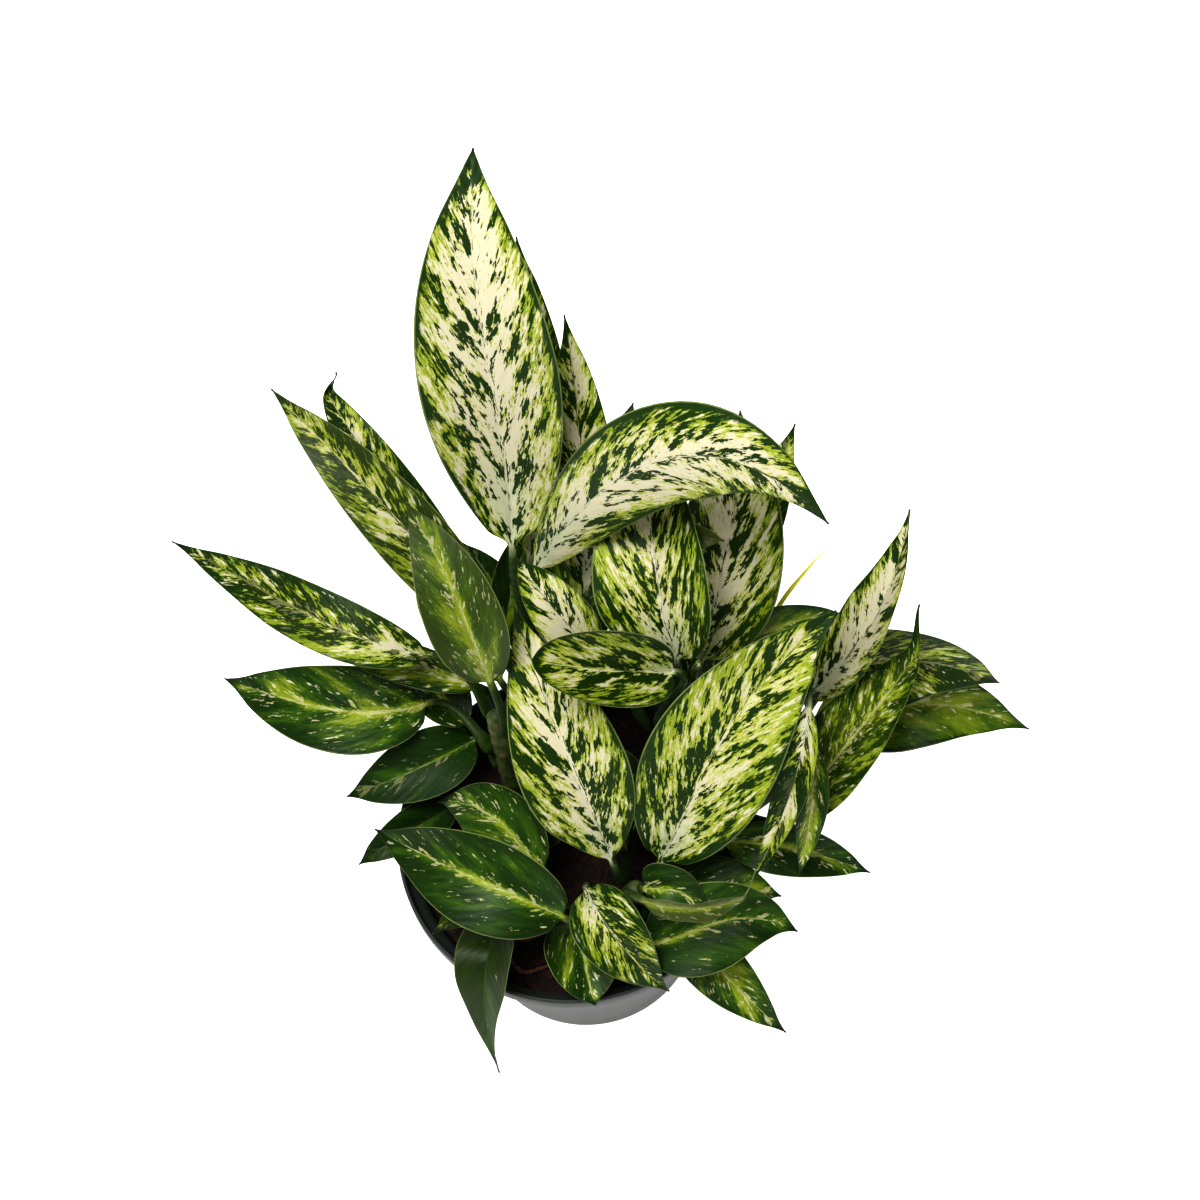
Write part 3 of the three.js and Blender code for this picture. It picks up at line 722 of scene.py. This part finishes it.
def curve_points(handles, t):
    """Places and directions along a curve with four handles."""
    a, b, c, d = handles
    t = t[:, None]
    s = 1 - t
    places = s ** 3 * a + 3 * s * s * t * b + 3 * s * t * t * c + t ** 3 * d
    directions = 3 * s * s * (b - a) + 6 * s * t * (c - b) + 3 * t * t * (d - c)
    return places, unit(directions)


def cane_point(cane, t):
    """Place, direction and radius of a cane at a share of its height."""
    a, b, c = np.array(cane["points"], float)
    foot_radius, top_radius = cane["radii"]
    place = (1 - t) ** 2 * a + 2 * (1 - t) * t * b + t * t * c
    way = unit(2 * (1 - t) * (b - a) + 2 * t * (c - b))
    return place, way, foot_radius + (top_radius - foot_radius) * t


print("handles through a straight row", midrib_handles(*np.arange(4.0)))

# %% [markdown]
# Which way is up on a blade could be asked anew at every station, from the vertical, but a leaf
# that bends over its own tip would flip there. So the upper side is chosen once, at the base of
# the blade, and each station takes it from the one before by two reflections, which is the
# least turn that follows the curve.

# %% Carrying the section without twist
def next_upper(step, way, next_way, upper):
    """The upper side at the next station along a curve."""
    reflected = upper - 2 * (step @ upper) / (step @ step) * step
    turned = way - 2 * (step @ way) / (step @ step) * step
    change = next_way - turned
    amount = change @ change
    straight = 1e-12
    if amount <= straight:
        return reflected
    return reflected - 2 * (change @ reflected) / amount * change


def upper_sides(places, ways, start, facing):
    """The upper-side direction at each station, carried both ways from the one at start."""
    ups = np.zeros_like(places)
    ups[start] = unit(facing - facing @ ways[start] * ways[start])
    onward = [(i, i + 1) for i in range(start, len(places) - 1)]
    back = [(i, i - 1) for i in range(start, 0, -1)]
    for i, j in onward + back:
        ups[j] = next_upper(places[j] - places[i], ways[i], ways[j], ups[i])
    return ups


x_way, z_way = np.eye(3)[0], np.eye(3)[2]
print("an upper side along a straight line stays", next_upper(x_way, x_way, x_way, z_way))

# %% [markdown]
# Even steps would waste faces on the plain middle of a blade and leave its ends with corners. So
# the stations bunch up at the base and the tip, where the outline turns quickly, and the points
# across bunch up at the midrib and the margin for the same reason.

# %% Stations
STALK_STEPS = 12
BLADE_STEPS = 58
BUNCHING = 0.6
even = np.linspace(0, 1, BLADE_STEPS + 1)
BLADE_AT = even - BUNCHING * np.sin(2 * math.pi * even) / (2 * math.pi)
STALK_AT = np.linspace(0, 1, STALK_STEPS + 1)[:-1]
LEAF_AT = np.concatenate([STALK_AT - 1, BLADE_AT])

HALF_ACROSS = np.array([0, 0.045, 0.1, 0.18, 0.29, 0.41, 0.54, 0.67, 0.79, 0.9, 0.97, 1])
ACROSS = np.concatenate([-HALF_ACROSS[:0:-1], HALF_ACROSS])
ROUND = np.concatenate([ACROSS, ACROSS[-2:0:-1]])
ON_TOP = np.arange(len(ROUND)) < len(ACROSS)
print("rings", len(LEAF_AT), "points round a ring", len(ROUND))

# %% [markdown]
# Seen flat, a blade is a long oval that is widest before its middle and draws out into a drip
# tip. One formula with a power for each end gives every leaf its own oval. Seen from its end,
# the blade is a shallow V at the midrib, and each half curls on like a slice of a pipe, so a
# half is an arc that starts at the angle of the fold and turns by the angle of the cup.

# %% Outline and section
THINNEST = 0.45


def half_width(leaf, u):
    """Half the width of the blade at each share of its length."""
    widest = leaf["widest"]
    x = np.where(u < widest, (widest - u) / widest, (u - widest) / (1 - widest))
    power = np.where(u < widest, leaf["base"], leaf["tip"])
    plain = np.clip(1 - x * x, 0, 1) ** power * leaf["width"] / 2
    drip = 1 - leaf["drip"] * ease(u, 0.84, 0.95) * (1 - ease(u, 0.95, 1))
    return np.maximum(plain * drip, THINNEST)


def section(leaf, v):
    """How far out and up a point across the blade lies, for a half width of 1."""
    fold, cup = math.radians(leaf["fold"]), math.radians(leaf["cup"])
    end = fold + cup * np.abs(v)
    return np.sign(v) * (np.sin(end) - math.sin(fold)) / cup, (math.cos(fold) - np.cos(end)) / cup


print("a flat-lying blade's margin is at", section(PLAIN_LEAF, np.array([1.0])))

# %% [markdown]
# A plain arc would look like cut plastic. The skin of a real leaf is quilted between its veins,
# its margin waves loosely, and its midrib is a groove on top and a ridge below. A displacement
# texture could raise all this, but it would know nothing of the veins. The side veins leave the
# midrib at a slant and bend forwards. `flow` counts the distance from one to the next, and the
# quilting follows it. The waves are drawn at random and differ from leaf to leaf.

# %% Small heights on the blade
VEIN_GAP = 8.5
VEIN_SLANT = 1.6
VEIN_BEND = 0.5
QUILT_HEIGHT = 0.13
LOOSE_WAVE = 0.03
GROOVE_DEPTH, GROOVE_WIDTH = 0.45, 1.5
RIDGE_HEIGHT, RIDGE_WIDTH, RIDGE_LEFT = 1.5, 1.9, 0.25
TOP_SKIN, UNDER_SKIN = 0.25, 0.3


def vein_flow(leaf, u, spread, length):
    half = leaf["width"] / 2
    return u * length - (VEIN_SLANT * spread + VEIN_BEND * spread ** 2 / half)


def margin_waves(leaf, u, v, random):
    """Three waves of the margin, each shorter and lower than the last, and an even ripple."""
    waves = 0
    for k in (1, 2, 3):
        height = random.uniform(0.4, 1) / k
        turns = k * 1.3 * u + random.uniform() + (v > 0) * random.uniform()
        waves = waves + height * np.sin(2 * math.pi * turns)
    ripple = leaf["wave"] * np.sin(4 * math.pi * u + np.where(v > 0, 0, 2)) * v * v
    return (waves * LOOSE_WAVE * leaf["width"] * v * v + ripple) * np.sin(math.pi * u)


def skin_heights(u, v, spread, flow):
    """Quilting, and the blade's thickness with its groove on top and its ridge below."""
    between = np.sin(math.pi * np.clip(np.abs(v), 0, 1)) ** 0.5
    quilt = QUILT_HEIGHT * np.cos(2 * math.pi * flow / VEIN_GAP) * between
    groove = GROOVE_DEPTH * np.exp(-(spread / GROOVE_WIDTH) ** 2) * np.sqrt(1 - u * 0.8)
    ridge = (RIDGE_HEIGHT * (1 - u) + RIDGE_LEFT) * np.exp(-(spread / (RIDGE_WIDTH - u)) ** 2)
    thick = np.where(ON_TOP[None, :], TOP_SKIN - groove, -UNDER_SKIN - ridge)
    return quilt, thick * (1 - np.abs(v) ** 8)


print("side veins every", VEIN_GAP, "mm")

# %% [markdown]
# Now each ring of the blade is placed: at its station on the midrib, as wide as the outline, as
# high as the section with its small heights. The way to the side and the way up come with the
# station, so the ring follows every bend.

# %% Rings of the blade
def blade_rings(leaf, rib_places, sides, ups, random):
    """The blade's rings in space, and for its finish the flow along the veins and the spread."""
    u = BLADE_AT[:, None]
    v = ROUND[None, :]
    width = half_width(leaf, BLADE_AT)[:, None]
    out, lift = section(leaf, v)
    length = np.linalg.norm(np.diff(rib_places, axis=0), axis=1).sum()
    spread = np.abs(v) * width
    flow = vein_flow(leaf, u, spread, length)
    quilt, thick = skin_heights(u, v, spread, flow)
    rise = lift * width + quilt + margin_waves(leaf, u, v, random) + thick
    outward = sides[:, None, :] * (out * width)[..., None]
    upward = ups[:, None, :] * rise[..., None]
    return rib_places[:, None, :] + outward + upward, flow, spread


print("blade rings", len(BLADE_AT))

# %% [markdown]
# The stalk is thicker at its foot, where a sheath clasps the cane, and a little flattened on
# top. It leaves the cane upwards and outwards and runs into the midrib. As a tube of its own it
# would end in a visible joint under the blade, so its rings have as many points as the blade's
# and one skin covers both.

# %% Rings of the stalk
STALK_TOE = 1.4
STALK_FOOT = 2.6
STALK_END = 1.7
BLADE_ROOT = 1.2
STALK_CLEAR = 0.2
STALK_BEND = 0.4
SHEATH_SPREAD = 0.45
STALK_FLAT = 0.25
ROUND_TURN = math.pi - angles_round(len(ROUND))


def stalk_handles(cane, leaf, rib_start, rib_way):
    """Handles of the stalk's curve from the cane to the midrib, and how far they reach."""
    foot, up, radius = cane_point(cane, leaf["at"])
    angle = math.radians(leaf["side"])
    outward = np.array([math.cos(angle), math.sin(angle), 0])
    outward = unit(outward - outward @ up * up)
    start = foot + outward * (radius + STALK_CLEAR + STALK_FOOT)
    run = np.linalg.norm(rib_start - start) * STALK_BEND
    leaving = unit(up + 0.6 * outward)
    return (start, start + leaving * run, rib_start - rib_way * run, rib_start), run


def stalk_rings(places, sides, ups):
    radii = [STALK_TOE, STALK_FOOT, STALK_END, BLADE_ROOT]
    radius = np.interp(LEAF_AT, [-1, -0.96, 0, 0.1], radii)[:, None]
    sheath = ease(-LEAF_AT, 0.55, 1)[:, None]
    x = np.cos(ROUND_TURN) * radius * (1 + SHEATH_SPREAD * sheath)
    y = np.sin(ROUND_TURN) * radius * (1 - STALK_FLAT * np.clip(np.sin(ROUND_TURN), 0, 1))
    return places[:, None, :] + sides[:, None, :] * x[..., None] + ups[:, None, :] * y[..., None]


print("stalk rings", len(STALK_AT))

# %% [markdown]
# The finish needs to know where it is on a leaf. A UV map could say it, but it holds two numbers
# only. Every corner carries nine instead, in three attributes. The first has its place across
# and along the veins in centimetres, and the leaf's own shift. The second has its share of the
# length and of the width, and whether it is below. The third has how creamy and how hazy its
# leaf is, and how far the corner is stalk.

# %% What a leaf tells its finish
MM_PER_CM = 10
SEED_STRIDE = 7.31


def leaf_attributes(leaf, seed, flow, spread, run):
    full = np.ones((len(LEAF_AT), len(ROUND)))
    stalk_flow = (STALK_AT - 1)[:, None] * run / STALK_BEND * np.ones(len(ROUND))
    stalk_reach = np.tile(ROUND * 3, (STALK_STEPS, 1))
    blade_reach = np.sign(ROUND) * (spread * 2 + 9)
    leaf_flow = np.concatenate([stalk_flow, flow]) / MM_PER_CM
    leaf_reach = np.concatenate([stalk_reach, blade_reach]) / MM_PER_CM
    along = np.clip(LEAF_AT, 0, 1)[:, None] * full
    under = np.where(ON_TOP & (np.abs(ROUND) < 1), 0.0, 1.0) * full
    stalk_share = (1 - ease(LEAF_AT, -0.02, 0.03))[:, None] * full
    own_place = full * (seed * SEED_STRIDE)
    return {
        "vein_place": np.stack([leaf_flow, leaf_reach, own_place], -1),
        "leaf_share": np.stack([along, np.abs(ROUND) * full, under], -1),
        "leaf_kind": np.stack([full * leaf["cream"], full * leaf["haze"], stalk_share], -1),
    }


print("numbers on", len(LEAF_AT) * len(ROUND), "corners of each leaf")

# %% [markdown]
# All the parts of a leaf come together here. A stalk and a blade are laid out on one line of
# stations, and over the first few of the blade the round ring turns into the flat one. Every
# leaf has a seed of its own, so its waves differ from its neighbours' and are the same each time.

# %% One leaf
def leaf_mesh(cane, leaf, seed):
    handles = midrib_handles(*np.array(leaf["rib"], float))
    rib_places, rib_ways = curve_points(handles, BLADE_AT)
    hooked = ease(BLADE_AT, 0.86, 1.0) ** 2
    rib_places = rib_places + np.outer(hooked, leaf["hook"])
    stalk, run = stalk_handles(cane, leaf, handles[0], rib_ways[0])
    stalk_places, stalk_ways = curve_points(stalk, STALK_AT)

    places = np.vstack([stalk_places, rib_places])
    ways = np.vstack([stalk_ways, rib_ways])
    ups = upper_sides(places, ways, STALK_STEPS, np.array(leaf["face"], float))
    sides = np.cross(ways, ups)

    blade, flow, spread = blade_rings(leaf, rib_places, sides[STALK_STEPS:], ups[STALK_STEPS:],
                                      np.random.default_rng(seed))
    tube = stalk_rings(places, sides, ups)
    share = ease(BLADE_AT, 0.0, 0.055)[:, None, None]
    flattened = tube[STALK_STEPS:] * (1 - share) + blade * share
    rings = np.concatenate([tube[:STALK_STEPS], flattened])
    return rings.reshape(-1, 3), leaf_attributes(leaf, seed, flow, spread, run)


def add_leaf(place, number, row, seed):
    corners, attributes = leaf_mesh(CANES[place], row, seed)
    piece = add_piece(f"{place}_leaf_{number}", corners, skin_faces(len(LEAF_AT), len(ROUND)),
                      leaf_finishes[row["finish"]], "leaf_" + row["finish"],
                      [f"leaf_{place}_{number}"])
    for name, values in attributes.items():
        layer = piece.data.attributes.new(name, "FLOAT_VECTOR", "POINT")
        layer.data.foreach_set("vector", values.astype(np.float32).ravel())


seed = 0
for place, rows in LEAVES.items():
    for number, row in enumerate(rows, 1):
        seed += 1
        add_leaf(place, number, row, seed)
print("leaves made", seed)

# %% [markdown]
# ## Canes
# A dieffenbachia cane is a green stem about as thick as a finger, streaked along its length,
# with corky spots. A noise stretched along the cane gives the streaks, which even noise would
# turn into camouflage.

# %% Cane finish
f = Finish("cane")
where = f.own_place()
streaks = f.noise(f.stretched(where, (300, 300, 60)), 4, 0.6)
spots = f.noise(f.stretched(where, (160, 160, 160), (5, 1, 2)), 2, 0.5)
colour = f.ramp(streaks, [(0.3, tone(40, 56, 20)), (0.55, tone(66, 82, 34)),
                          (0.75, tone(100, 104, 56))])
colour = f.mixed(spots.rise(0.55, 0.62) * 0.6, colour, tone(110, 92, 60))
cane_material = f.surface(Base_Color=colour, Roughness=0.5 + streaks * 0.2,
                          Normal=f.relief(streaks, 0.4, 0.0005))
print("finish", cane_material.name)

# %% [markdown]
# Each leaf that has dropped leaves a ring round the cane. A plain tube would look like a straw,
# and rings set on it as separate hoops would look like a drain. So the radius itself swells a
# little at every ring, and the top is a dome. The foot goes on into the mix, so no gap shows.

# %% Canes in the mix
CANE_SIDES = 28
CANE_STEPS = 60
BURIED_STEPS = 6
DOME_STEPS = 4
RING_GAP = 11
RING_HEIGHT = 0.5
RING_PLACE = 2


def cane_ring(cane, t, length):
    """Points round a cane at a share of its height, which may lie just past either end."""
    held = min(max(t, 0), 1)
    middle, way, radius = cane_point(cane, held)
    middle = middle + way * (t - held) * length
    past_ring = (t * length) % RING_GAP - RING_PLACE
    ring = math.exp(-past_ring ** 2 / 0.8) * RING_HEIGHT
    dome = math.sqrt(max(1 - max(t - 1, 0) / (DOME_STEPS / CANE_STEPS), 0.02))
    swell = (radius + ring - 0.1) * dome
    side = unit(np.cross([1.0, 0, 0], way))
    across = np.cross(side, way)
    turn = angles_round(CANE_SIDES)
    return middle + np.outer(np.cos(turn) * swell, across) + np.outer(np.sin(turn) * swell, side)


for place, cane in CANES.items():
    length = np.linalg.norm(np.array(cane["points"][-1]) - cane["points"][0])
    steps = range(-BURIED_STEPS, CANE_STEPS + DOME_STEPS)
    rings = [cane_ring(cane, step / CANE_STEPS, length) for step in steps]
    add_piece("cane_" + place, np.concatenate(rings), skin_faces(len(rings), CANE_SIDES),
              cane_material, "cane", ["stem_" + place])
print("canes", len(CANES))

# %% [markdown]
# ## Pot
# The pot is a thin tapered shell with a stepped band round the rim, moulded in dull grey
# plastic. It could be a cylinder, scaled and hollowed, but such edges are knife-sharp and catch
# no light. So its profile is written down point by point, with a small round at every edge, and
# turned about the middle like clay on a wheel.

# %% Pot profile
# Radius and height in millimetres, from the middle of the underside round to the inside.
POT_OUTSIDE = [
    (0, 1.2), (20, 1.2), (22, 0.2), (54, 0.0), (57, 0.3), (58.6, 1.2), (59, 2.6),
    (62.3, 22), (66, 43), (70.5, 69), (75, 95), (79, 118.6),
]
POT_RIM = [
    (79.6, 119.6), (83.8, 120.6), (84.7, 121.0), (85, 121.8), (85, 128.6), (84.8, 129.4),
    (84.2, 129.9), (83.9, 130), (83.5, 129.9), (83.1, 129.4), (82.8, 122.8), (82.0, 122.0),
]
POT_INSIDE = [
    (78.0, 121.2), (77.4, 118.4), (73.4, 95), (68.9, 69), (64.4, 43), (60.7, 22),
    (57.6, 3.6), (56.6, 2.6), (54, 2.4), (0, 2.4),
]
pot_profile = POT_OUTSIDE + POT_RIM + POT_INSIDE
print("pot profile points", len(pot_profile))

# %% [markdown]
# Moulded plastic is never one even grey. It has a faint cloudiness, a fine grain that dulls it,
# and a few paler scuffs, and the rim band is a little darker and greener than the wall. All of
# it comes from two noises and the height above the ground.

# %% Pot finish
RIM_BEGINS = (0.1185, 0.1205)

f = Finish("pot_plastic")
where = f.own_place()
_, _, height = f.parts(where)
grain = f.noise(where, 4, 0.6, 900)
clouds = f.noise(where, 3, 0.5, 30)
wall = f.mixed(clouds, tone(41, 42, 36), tone(49, 50, 44))
rim_grey = tone(38, 44, 39)
scuffs = tone(70, 74, 68)
colour = f.mixed(height.rise(*RIM_BEGINS), wall, rim_grey)
colour = f.mixed(grain.rise(0.55, 0.7) * 0.15, colour, scuffs)
pot_material = f.surface(Base_Color=colour, Roughness=0.5 + clouds * 0.12,
                         Normal=f.relief(grain, 0.15, 0.0002))
print("finish", pot_material.name)

# %% Pot shell
POT_SIDES = 144
CENTRE_RADIUS = 0.01


def circle(radius, height, sides):
    turn = angles_round(sides)
    return np.stack([radius * np.cos(turn), radius * np.sin(turn), np.full(sides, height)], -1)


rings = [circle(max(radius, CENTRE_RADIUS), height, POT_SIDES) for radius, height in pot_profile]
pot = add_piece("pot_shell", np.concatenate(rings), skin_faces(len(rings), POT_SIDES),
                pot_material, "pot_plastic", ["pot"])
print("pot corners", len(pot.data.vertices))

# %% [markdown]
# Five round holes let the water out. They could be drawn into the mesh of the floor, ring by
# ring, but a Boolean does it in one step. All the drills are one mesh, so there is one cut, and
# the modifier is applied, so the pot keeps no link to the drills.

# %% Drain holes
DRAIN_HOLES = 5
DRAIN_RADIUS = 4.5
DRAIN_CIRCLE = 42
DRILL_SIDES = 32
DRILL_HEIGHTS = (-3, 6)


def drill_mesh():
    """All the drills as one mesh, each a plain cylinder through the floor."""
    corners, faces = [], []
    for hole in range(DRAIN_HOLES):
        angle = (hole + 0.5) / DRAIN_HOLES * 2 * math.pi
        middle = [DRAIN_CIRCLE * math.cos(angle), DRAIN_CIRCLE * math.sin(angle), 0]
        first = 2 * DRILL_SIDES * hole
        faces += [[i + first for i in face] for face in skin_faces(2, DRILL_SIDES)]
        corners += [circle(DRAIN_RADIUS, height, DRILL_SIDES) + middle for height in DRILL_HEIGHTS]
    mesh = bpy.data.meshes.new("drills")
    mesh.from_pydata((np.concatenate(corners) * MM).tolist(), [], faces)
    return mesh


cutter = bpy.data.objects.new("drills", drill_mesh())
bpy.context.scene.collection.objects.link(cutter)
cut = pot.modifiers.new("drain_holes", "BOOLEAN")
cut.operation = "DIFFERENCE"
cut.object = cutter
cut.solver = "EXACT"
bpy.context.view_layer.objects.active = pot
bpy.ops.object.modifier_apply(modifier=cut.name)
bpy.data.objects.remove(cutter)
print("pot corners with drain holes", len(pot.data.vertices))

# %% [markdown]
# ## Potting mix
# The mix is bark and peat, dark, reddish and matt. Its finish is a coarse noise run through
# three browns and lifted by a strong bump. It is the same for the root ball and for the chips on
# it, so that the chips look like pieces of the mix and not like gravel strewn over it.

# %% Potting mix finish
f = Finish("potting_soil")
where = f.own_place()
crumbs = f.noise(where, 6, 0.7, 260)
clumps = f.noise(where, 3, 0.6, 60)
colour = f.ramp(crumbs, [(0.3, tone(14, 8, 6)), (0.5, tone(36, 20, 15)),
                         (0.68, tone(70, 42, 30))])
colour = f.mixed(clumps.rise(0.45, 0.65) * 0.5, colour, tone(24, 13, 9))
soil_material = f.surface(Base_Color=colour, Roughness=0.85 + crumbs * 0.1,
                          Normal=f.relief(crumbs, 0.6, 0.001))
print("finish", soil_material.name)

# %% [markdown]
# A root ball has the shape of its pot, with a low, uneven crown that dips at the edge where it
# has shrunk from the wall. A smooth mound would look like clay. Four crossing waves make the
# unevenness, and a little random height at every corner makes the crumbs.

# %% Root ball
SOIL_TOP, SOIL_CROWN = 112, 2
SOIL_RADIUS = 74
EDGE_DIP, DIP_FROM, DIP_WIDTH = 2.2, 70, 6
SOIL_RINGS = 60
SOIL_SIDES = 160
GRAIN = 0.22
# Waves of the surface: radians for a millimetre along X and along Y, a start and a height.
SOIL_BUMPS = [(0.21, 0.13, 1, 0.5), (-0.17, 0.33, 2, 0.4), (0.61, -0.52, 4, 0.3),
              (0.9, 0.8, 0.3, 0.25)]
# Radius and height of the sides, which lie against the pot.
SOIL_SIDE_RINGS = [(57.0, 2.7), (57.3, 4.0), (60.3, 22), (64.0, 43), (68.5, 69), (73.0, 95),
                   (75.6, 109.6)]


def soil_height(x, y):
    r = np.hypot(x, y)
    crown = SOIL_TOP + SOIL_CROWN * (1 - (r / SOIL_RADIUS) ** 2)
    bumps = sum(np.sin(x * a + y * b + c) * h for a, b, c, h in SOIL_BUMPS)
    return crown + bumps - EDGE_DIP * np.clip((r - DIP_FROM) / DIP_WIDTH, 0, 1)


soil_random = np.random.default_rng(7)
rings = [circle(radius, height, SOIL_SIDES) for radius, height in SOIL_SIDE_RINGS]
for radius in np.linspace(75.9, 0.3, SOIL_RINGS):
    ring = circle(radius, 0, SOIL_SIDES)
    grain = soil_random.normal(0, GRAIN, SOIL_SIDES) * min(radius / 30, 1)
    ring[:, 2] = soil_height(ring[:, 0], ring[:, 1]) + grain
    rings.append(ring)
add_piece("potting_mix", np.concatenate(rings), skin_faces(len(rings), SOIL_SIDES), soil_material,
          "potting_soil", ["soil"])
print("potting mix rings", len(rings))

# %% [markdown]
# Loose chips of bark lie on the mix. A particle system could scatter them, but it would have to
# be turned into a mesh in the end. It is as simple to take one small ball, to squash and dent
# its corners anew for each chip, and to lay all the chips into one mesh.

# %% One bark chip
def ball_mesh():
    """Corners and faces of a small round ball, made by Blender and taken out of the scene."""
    bpy.ops.mesh.primitive_ico_sphere_add(subdivisions=2, radius=1)
    ball = bpy.context.object
    corners = np.array([v.co for v in ball.data.vertices])
    faces = [list(p.vertices) for p in ball.data.polygons]
    bpy.data.objects.remove(ball)
    return corners, faces


def turned_round(corners, lean, swing):
    """Corners leant about X and then swung about Z."""
    tilt = np.array([[1, 0, 0], [0, math.cos(lean), -math.sin(lean)],
                     [0, math.sin(lean), math.cos(lean)]])
    spin = np.array([[math.cos(swing), -math.sin(swing), 0],
                     [math.sin(swing), math.cos(swing), 0], [0, 0, 1]])
    return corners @ tilt.T @ spin.T


ball_corners, ball_faces = ball_mesh()
print("a chip has", len(ball_corners), "corners")

# %% Bark chips
CHIPS = 620
CHIP_SPREAD = 73
CHIP_LIFT = 0.4


def chip_corners(random):
    """A ball dented, squashed, turned and laid on the mix, all by random draws."""
    far = CHIP_SPREAD * math.sqrt(random.uniform())
    around = random.uniform(0, 2 * math.pi)
    x, y = far * math.cos(around), far * math.sin(around)
    longest = random.uniform(1.2, 3.4)
    size = longest * np.array([1, random.uniform(0.4, 0.8), random.uniform(0.18, 0.4)])
    dents = 1 + random.normal(0, 0.12, (len(ball_corners), 1))
    lean, swing = random.normal(0, 0.3), random.uniform(0, 2 * math.pi)
    middle = [x, y, float(soil_height(x, y)) + CHIP_LIFT]
    return turned_round(ball_corners * dents * size, lean, swing) + middle


chip_random = np.random.default_rng(21)
corners = [chip_corners(chip_random) for _ in range(CHIPS)]
faces = [[i + chip * len(ball_corners) for i in face] for chip in range(CHIPS)
         for face in ball_faces]
add_piece("bark_chips", np.concatenate(corners), faces, soil_material, "potting_soil",
          smooth=False)
print("chips", CHIPS)

# %% [markdown]
# ## Roots at the surface
# A pot-bound plant pushes a few fleshy roots out of the mix. They are pinkish tan and as thick
# as string. Each is drawn as an arch from its start to its end, both in the mix, with a small
# wander and a few knots, because a plain arch would look like wire.

# %% Root finish
f = Finish("surface_root")
skin = f.noise(f.own_place(), 4, 0.6, 500)
colour = f.ramp(skin, [(0.35, tone(58, 34, 24)), (0.6, tone(122, 82, 62))])
root_material = f.surface(Base_Color=colour, Roughness=0.7, Normal=f.relief(skin, 0.4, 0.0004))
print("finish", root_material.name)

# %% Surface roots
# Each root has its start, the point that its arch is drawn towards, and its end.
ROOTS = [
    [(-41, -53, 110), (-28, -68, 119), (-13, -58, 110)],
    [(-37, -41, 110), (-27, -50, 119), (-12, -42, 111)],
    [(30, 12, 111), (14, 24, 120), (8, 44, 111)],
    [(-8, -4, 111), (8, 4, 119), (22, -8, 111)],
    [(52, 30, 110), (60, 12, 118), (64, -18, 109)],
    [(-58, 12, 110), (-52, -8, 119), (-62, -30, 109)],
]
ROOT_STEPS = 26
ROOT_SIDES = 14
ROOT_WANDER = 1.2
ROOT_RADIUS, ROOT_TAPER, ROOT_KNOTS = 1.5, 0.7, 0.15


def root_ring(start, top, end, t):
    middle = (1 - t) ** 2 * start + 2 * t * (1 - t) * top + t ** 2 * end
    middle = middle + [ROOT_WANDER * math.sin(9 * t), ROOT_WANDER * math.cos(7 * t), 0]
    way = unit((1 - t) * (top - start) + t * (end - top))
    side = unit(np.cross(way, [0, 0, 1.0]))
    up = np.cross(side, way)
    radius = ROOT_RADIUS - ROOT_TAPER * t + ROOT_KNOTS * math.sin(23 * t)
    turn = angles_round(ROOT_SIDES)
    return middle + radius * (np.outer(np.cos(turn), up) + np.outer(np.sin(turn), side))


rings, faces = [], []
for root, points in enumerate(np.array(ROOTS, float)):
    rings += [root_ring(*points, t) for t in np.linspace(0, 1, ROOT_STEPS)]
    first = root * ROOT_STEPS * ROOT_SIDES
    faces += [[i + first for i in face] for face in skin_faces(ROOT_STEPS, ROOT_SIDES)]
add_piece("surface_roots", np.concatenate(rings), faces, root_material, "potting_soil")
print("roots", len(ROOTS))

# %% [markdown]
